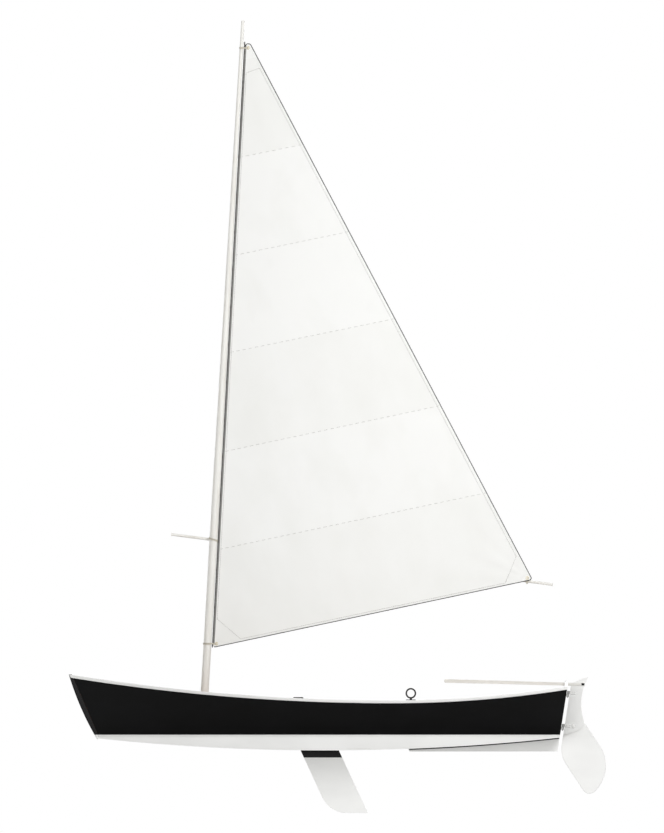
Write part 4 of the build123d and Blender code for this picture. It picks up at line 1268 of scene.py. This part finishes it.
def socketScrews():
    bvh = treeOf("rowlock_sockets")
    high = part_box("rowlock_sockets")[1]
    hits = []
    for side in (1, -1):
        for reach in (-fastening["socketReach"], fastening["socketReach"]):
            above = (rowlock["x"] + reach, side * (high.y - fastening["socketInset"]), high.z + 0.1)
            hits.append(castOn(bvh, above, (0, 0, -1)))
    return [hit for hit in hits if hit]


def makeFastenings():
    plug = screwHead("plugHead", fastening["plugMm"], 0.25)
    screw = screwHead("screwHead", fastening["screwMm"], 1.2)
    placeFittings("seat_plugs", seatPlugs(), plug, "mahoganyX", "root", "varnished_timber")
    placeFittings("gudgeon_screws", gudgeonScrews(), screw, "paleSteel", "root", "pale_steel")
    placeFittings("pintle_screws", pintleScrews(), screw, "paleSteel", "rudder", "pale_steel")
    placeFittings("socket_screws", socketScrews(), screw, "darkBronze", "root", "dark_bronze")
    for fitting in (plug, screw):
        bpy.data.objects.remove(fitting)


skegBead = {
    "fore": -0.740,
    "aft": -1.962,
    "halfSkeg": 0.012,
    "radius": 0.0095,
    "sink": 0.0004,
    "stations": 48,
    "steps": 4,
}


def makeSkegBead():
    # A bead of black bedding compound in the corner between the skeg and the bottom, on both sides
    under = treeOf("bottom_panel")
    size = skegBead
    ring = size["steps"] + 2
    vertices, faces = [], []
    for side in (1, -1):
        start = len(vertices)
        for k in range(size["stations"] + 1):
            x = size["fore"] + (size["aft"] - size["fore"]) * k / size["stations"]
            top = castOn(under, (x, side * 0.03, -0.6), (0, 0, 1))[0].z + size["sink"]
            vertices.append((x, side * (size["halfSkeg"] - size["sink"]), top))
            for j in range(size["steps"] + 1):
                turn = math.pi / 2 * j / size["steps"]
                away = size["radius"] * (1 - math.sin(turn))
                drop = size["radius"] * (1 - math.cos(turn))
                vertices.append((x, side * (size["halfSkeg"] + away), top - drop))
        for k in range(size["stations"]):
            for j in range(ring):
                a, b = start + k * ring + j, start + k * ring + (j + 1) % ring
                faces.append((a, b, b + ring, a + ring))
        for end in (start, start + size["stations"] * ring):
            faces.append(tuple(range(end, end + ring)))
    bead = newPiece("skeg_bedding_bead", vertices, faces)
    cleanMesh(bead)
    smooth(bead, 40)
    paintFaces(bead, ["blackEnamel"])
    settle(bead, "root", "topside_paint")


tillerEnd = {"aft": -2.167, "length": 0.024, "low": 0.4235, "height": 0.0175, "face": 0.0312, "thick": 0.003}


def makeTillerEnds():
    # Dark plates on the outer side of each strap at its aft end
    size = tillerEnd
    for name, side in (("tiller_end_port", 1), ("tiller_end_starboard", -1)):
        corners = []
        for y in (size["face"], size["face"] + size["thick"]):
            for x, z in ((0, 0), (1, 0), (1, 1), (0, 1)):
                x, z = size["aft"] + x * size["length"], size["low"] + z * size["height"]
                corners.append((x, side * y, z))
        sides = [(0, 1, 5, 4), (1, 2, 6, 5), (2, 3, 7, 6), (3, 0, 4, 7), (0, 3, 2, 1), (4, 5, 6, 7)]
        plate = newPiece(name, corners, sides)
        cleanMesh(plate)
        roundEdges(plate, 1.2)
        paintFaces(plate, ["blackEnamel"])
        settle(plate, "rudder", "dark_bronze")


makeFastenings()
makeSkegBead()
makeTillerEnds()
print("fastenings set")

# Floor at the waterline, with the boat's own room left open in it

floor = {
    "reach": 40.0,
    "aft": -1.955,  # the hull's ends on the waterline
    "fore": 1.779,
    "stations": 60,
    "inset": 0.004,
    "lift": 0.72,  # share of plain white over the paint, which grows to all of it in the distance
    "fadeFrom": 5.0,
    "fadeTo": 24.0,
}


def floorMaterial():
    # Plain pale studio floor, lifted towards the white behind it; its underside is clear
    material, tree, shader = newFinish("paleStudioFloor", {"Roughness": 0.9, "Specular IOR Level": 0.1})
    place = addNode(tree, "ShaderNodeTexCoord").outputs["Object"]
    slow = stretchedNoise(tree, place, (2400, 2400, 2400))
    tree.links.new(toneRamp(tree, slow, [(0.3, "E8E8E7"), (0.7, "ECECEB")]), shader.inputs["Base Color"])
    away = addNode(tree, "ShaderNodeVectorMath", {0: place}, operation="LENGTH").outputs["Value"]
    inputs = {"Value": away, "From Min": floor["fadeFrom"], "From Max": floor["fadeTo"]}
    inputs["To Min"] = floor["lift"]
    whiter = addNode(tree, "ShaderNodeMapRange", inputs).outputs["Result"]
    seen = addNode(tree, "ShaderNodeLightPath").outputs["Is Camera Ray"]
    lift = addNode(tree, "ShaderNodeMath", {0: seen, 1: whiter}, operation="MULTIPLY").outputs[0]
    glow = addNode(tree, "ShaderNodeEmission", {"Color": (1, 1, 1, 1), "Strength": 1.0}).outputs["Emission"]
    top = addNode(tree, "ShaderNodeMixShader", {0: lift, 1: shader.outputs["BSDF"], 2: glow})
    clear = addNode(tree, "ShaderNodeBsdfTransparent").outputs["BSDF"]
    behind = addNode(tree, "ShaderNodeNewGeometry").outputs["Backfacing"]
    mixed = addNode(tree, "ShaderNodeMixShader", {0: behind, 1: top.outputs["Shader"], 2: clear})
    tree.links.new(mixed.outputs["Shader"], tree.nodes["Material Output"].inputs["Surface"])
    return material


def makeFloor():
    # Two halves that follow the hull's sides, and a plain sheet past each end
    bvh = treeOf("side_plank_port")
    reach = floor["reach"]
    rim = []
    for k in range(floor["stations"] + 1):
        x = floor["aft"] + (floor["fore"] - floor["aft"]) * k / floor["stations"]
        hit = castOn(bvh, (x, 0.0, 0.0), (0, 1, 0))
        if hit:
            rim.append((x, hit[0].y + floor["inset"]))
    vertices, faces = [], []
    for side in (1, -1):
        start = len(vertices)
        for x, y in rim:
            vertices += [(x, side * y, 0), (x, side * reach, 0)]
        for k in range(len(rim) - 1):
            a = start + 2 * k
            faces.append((a, a + 2, a + 3, a + 1))
    for x, edge in ((rim[0][0], -reach), (rim[-1][0], reach)):
        start = len(vertices)
        vertices += [(x, -reach, 0), (edge, -reach, 0), (edge, reach, 0), (x, reach, 0)]
        faces.append(tuple(range(start, start + 4)))
    piece = newPiece("studio_floor", vertices, faces)
    for face in piece.data.polygons:
        if face.normal.z < 0:
            face.flip()
    piece.data.materials.append(floorMaterial())
    piece.visible_shadow = False


makeFloor()
print("floor laid at the waterline")

for node in sorted(frame["nodes"]):
    if not frame["nodes"][node].hide_render:
        print("CAD node still shown:", node)

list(sailExtras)
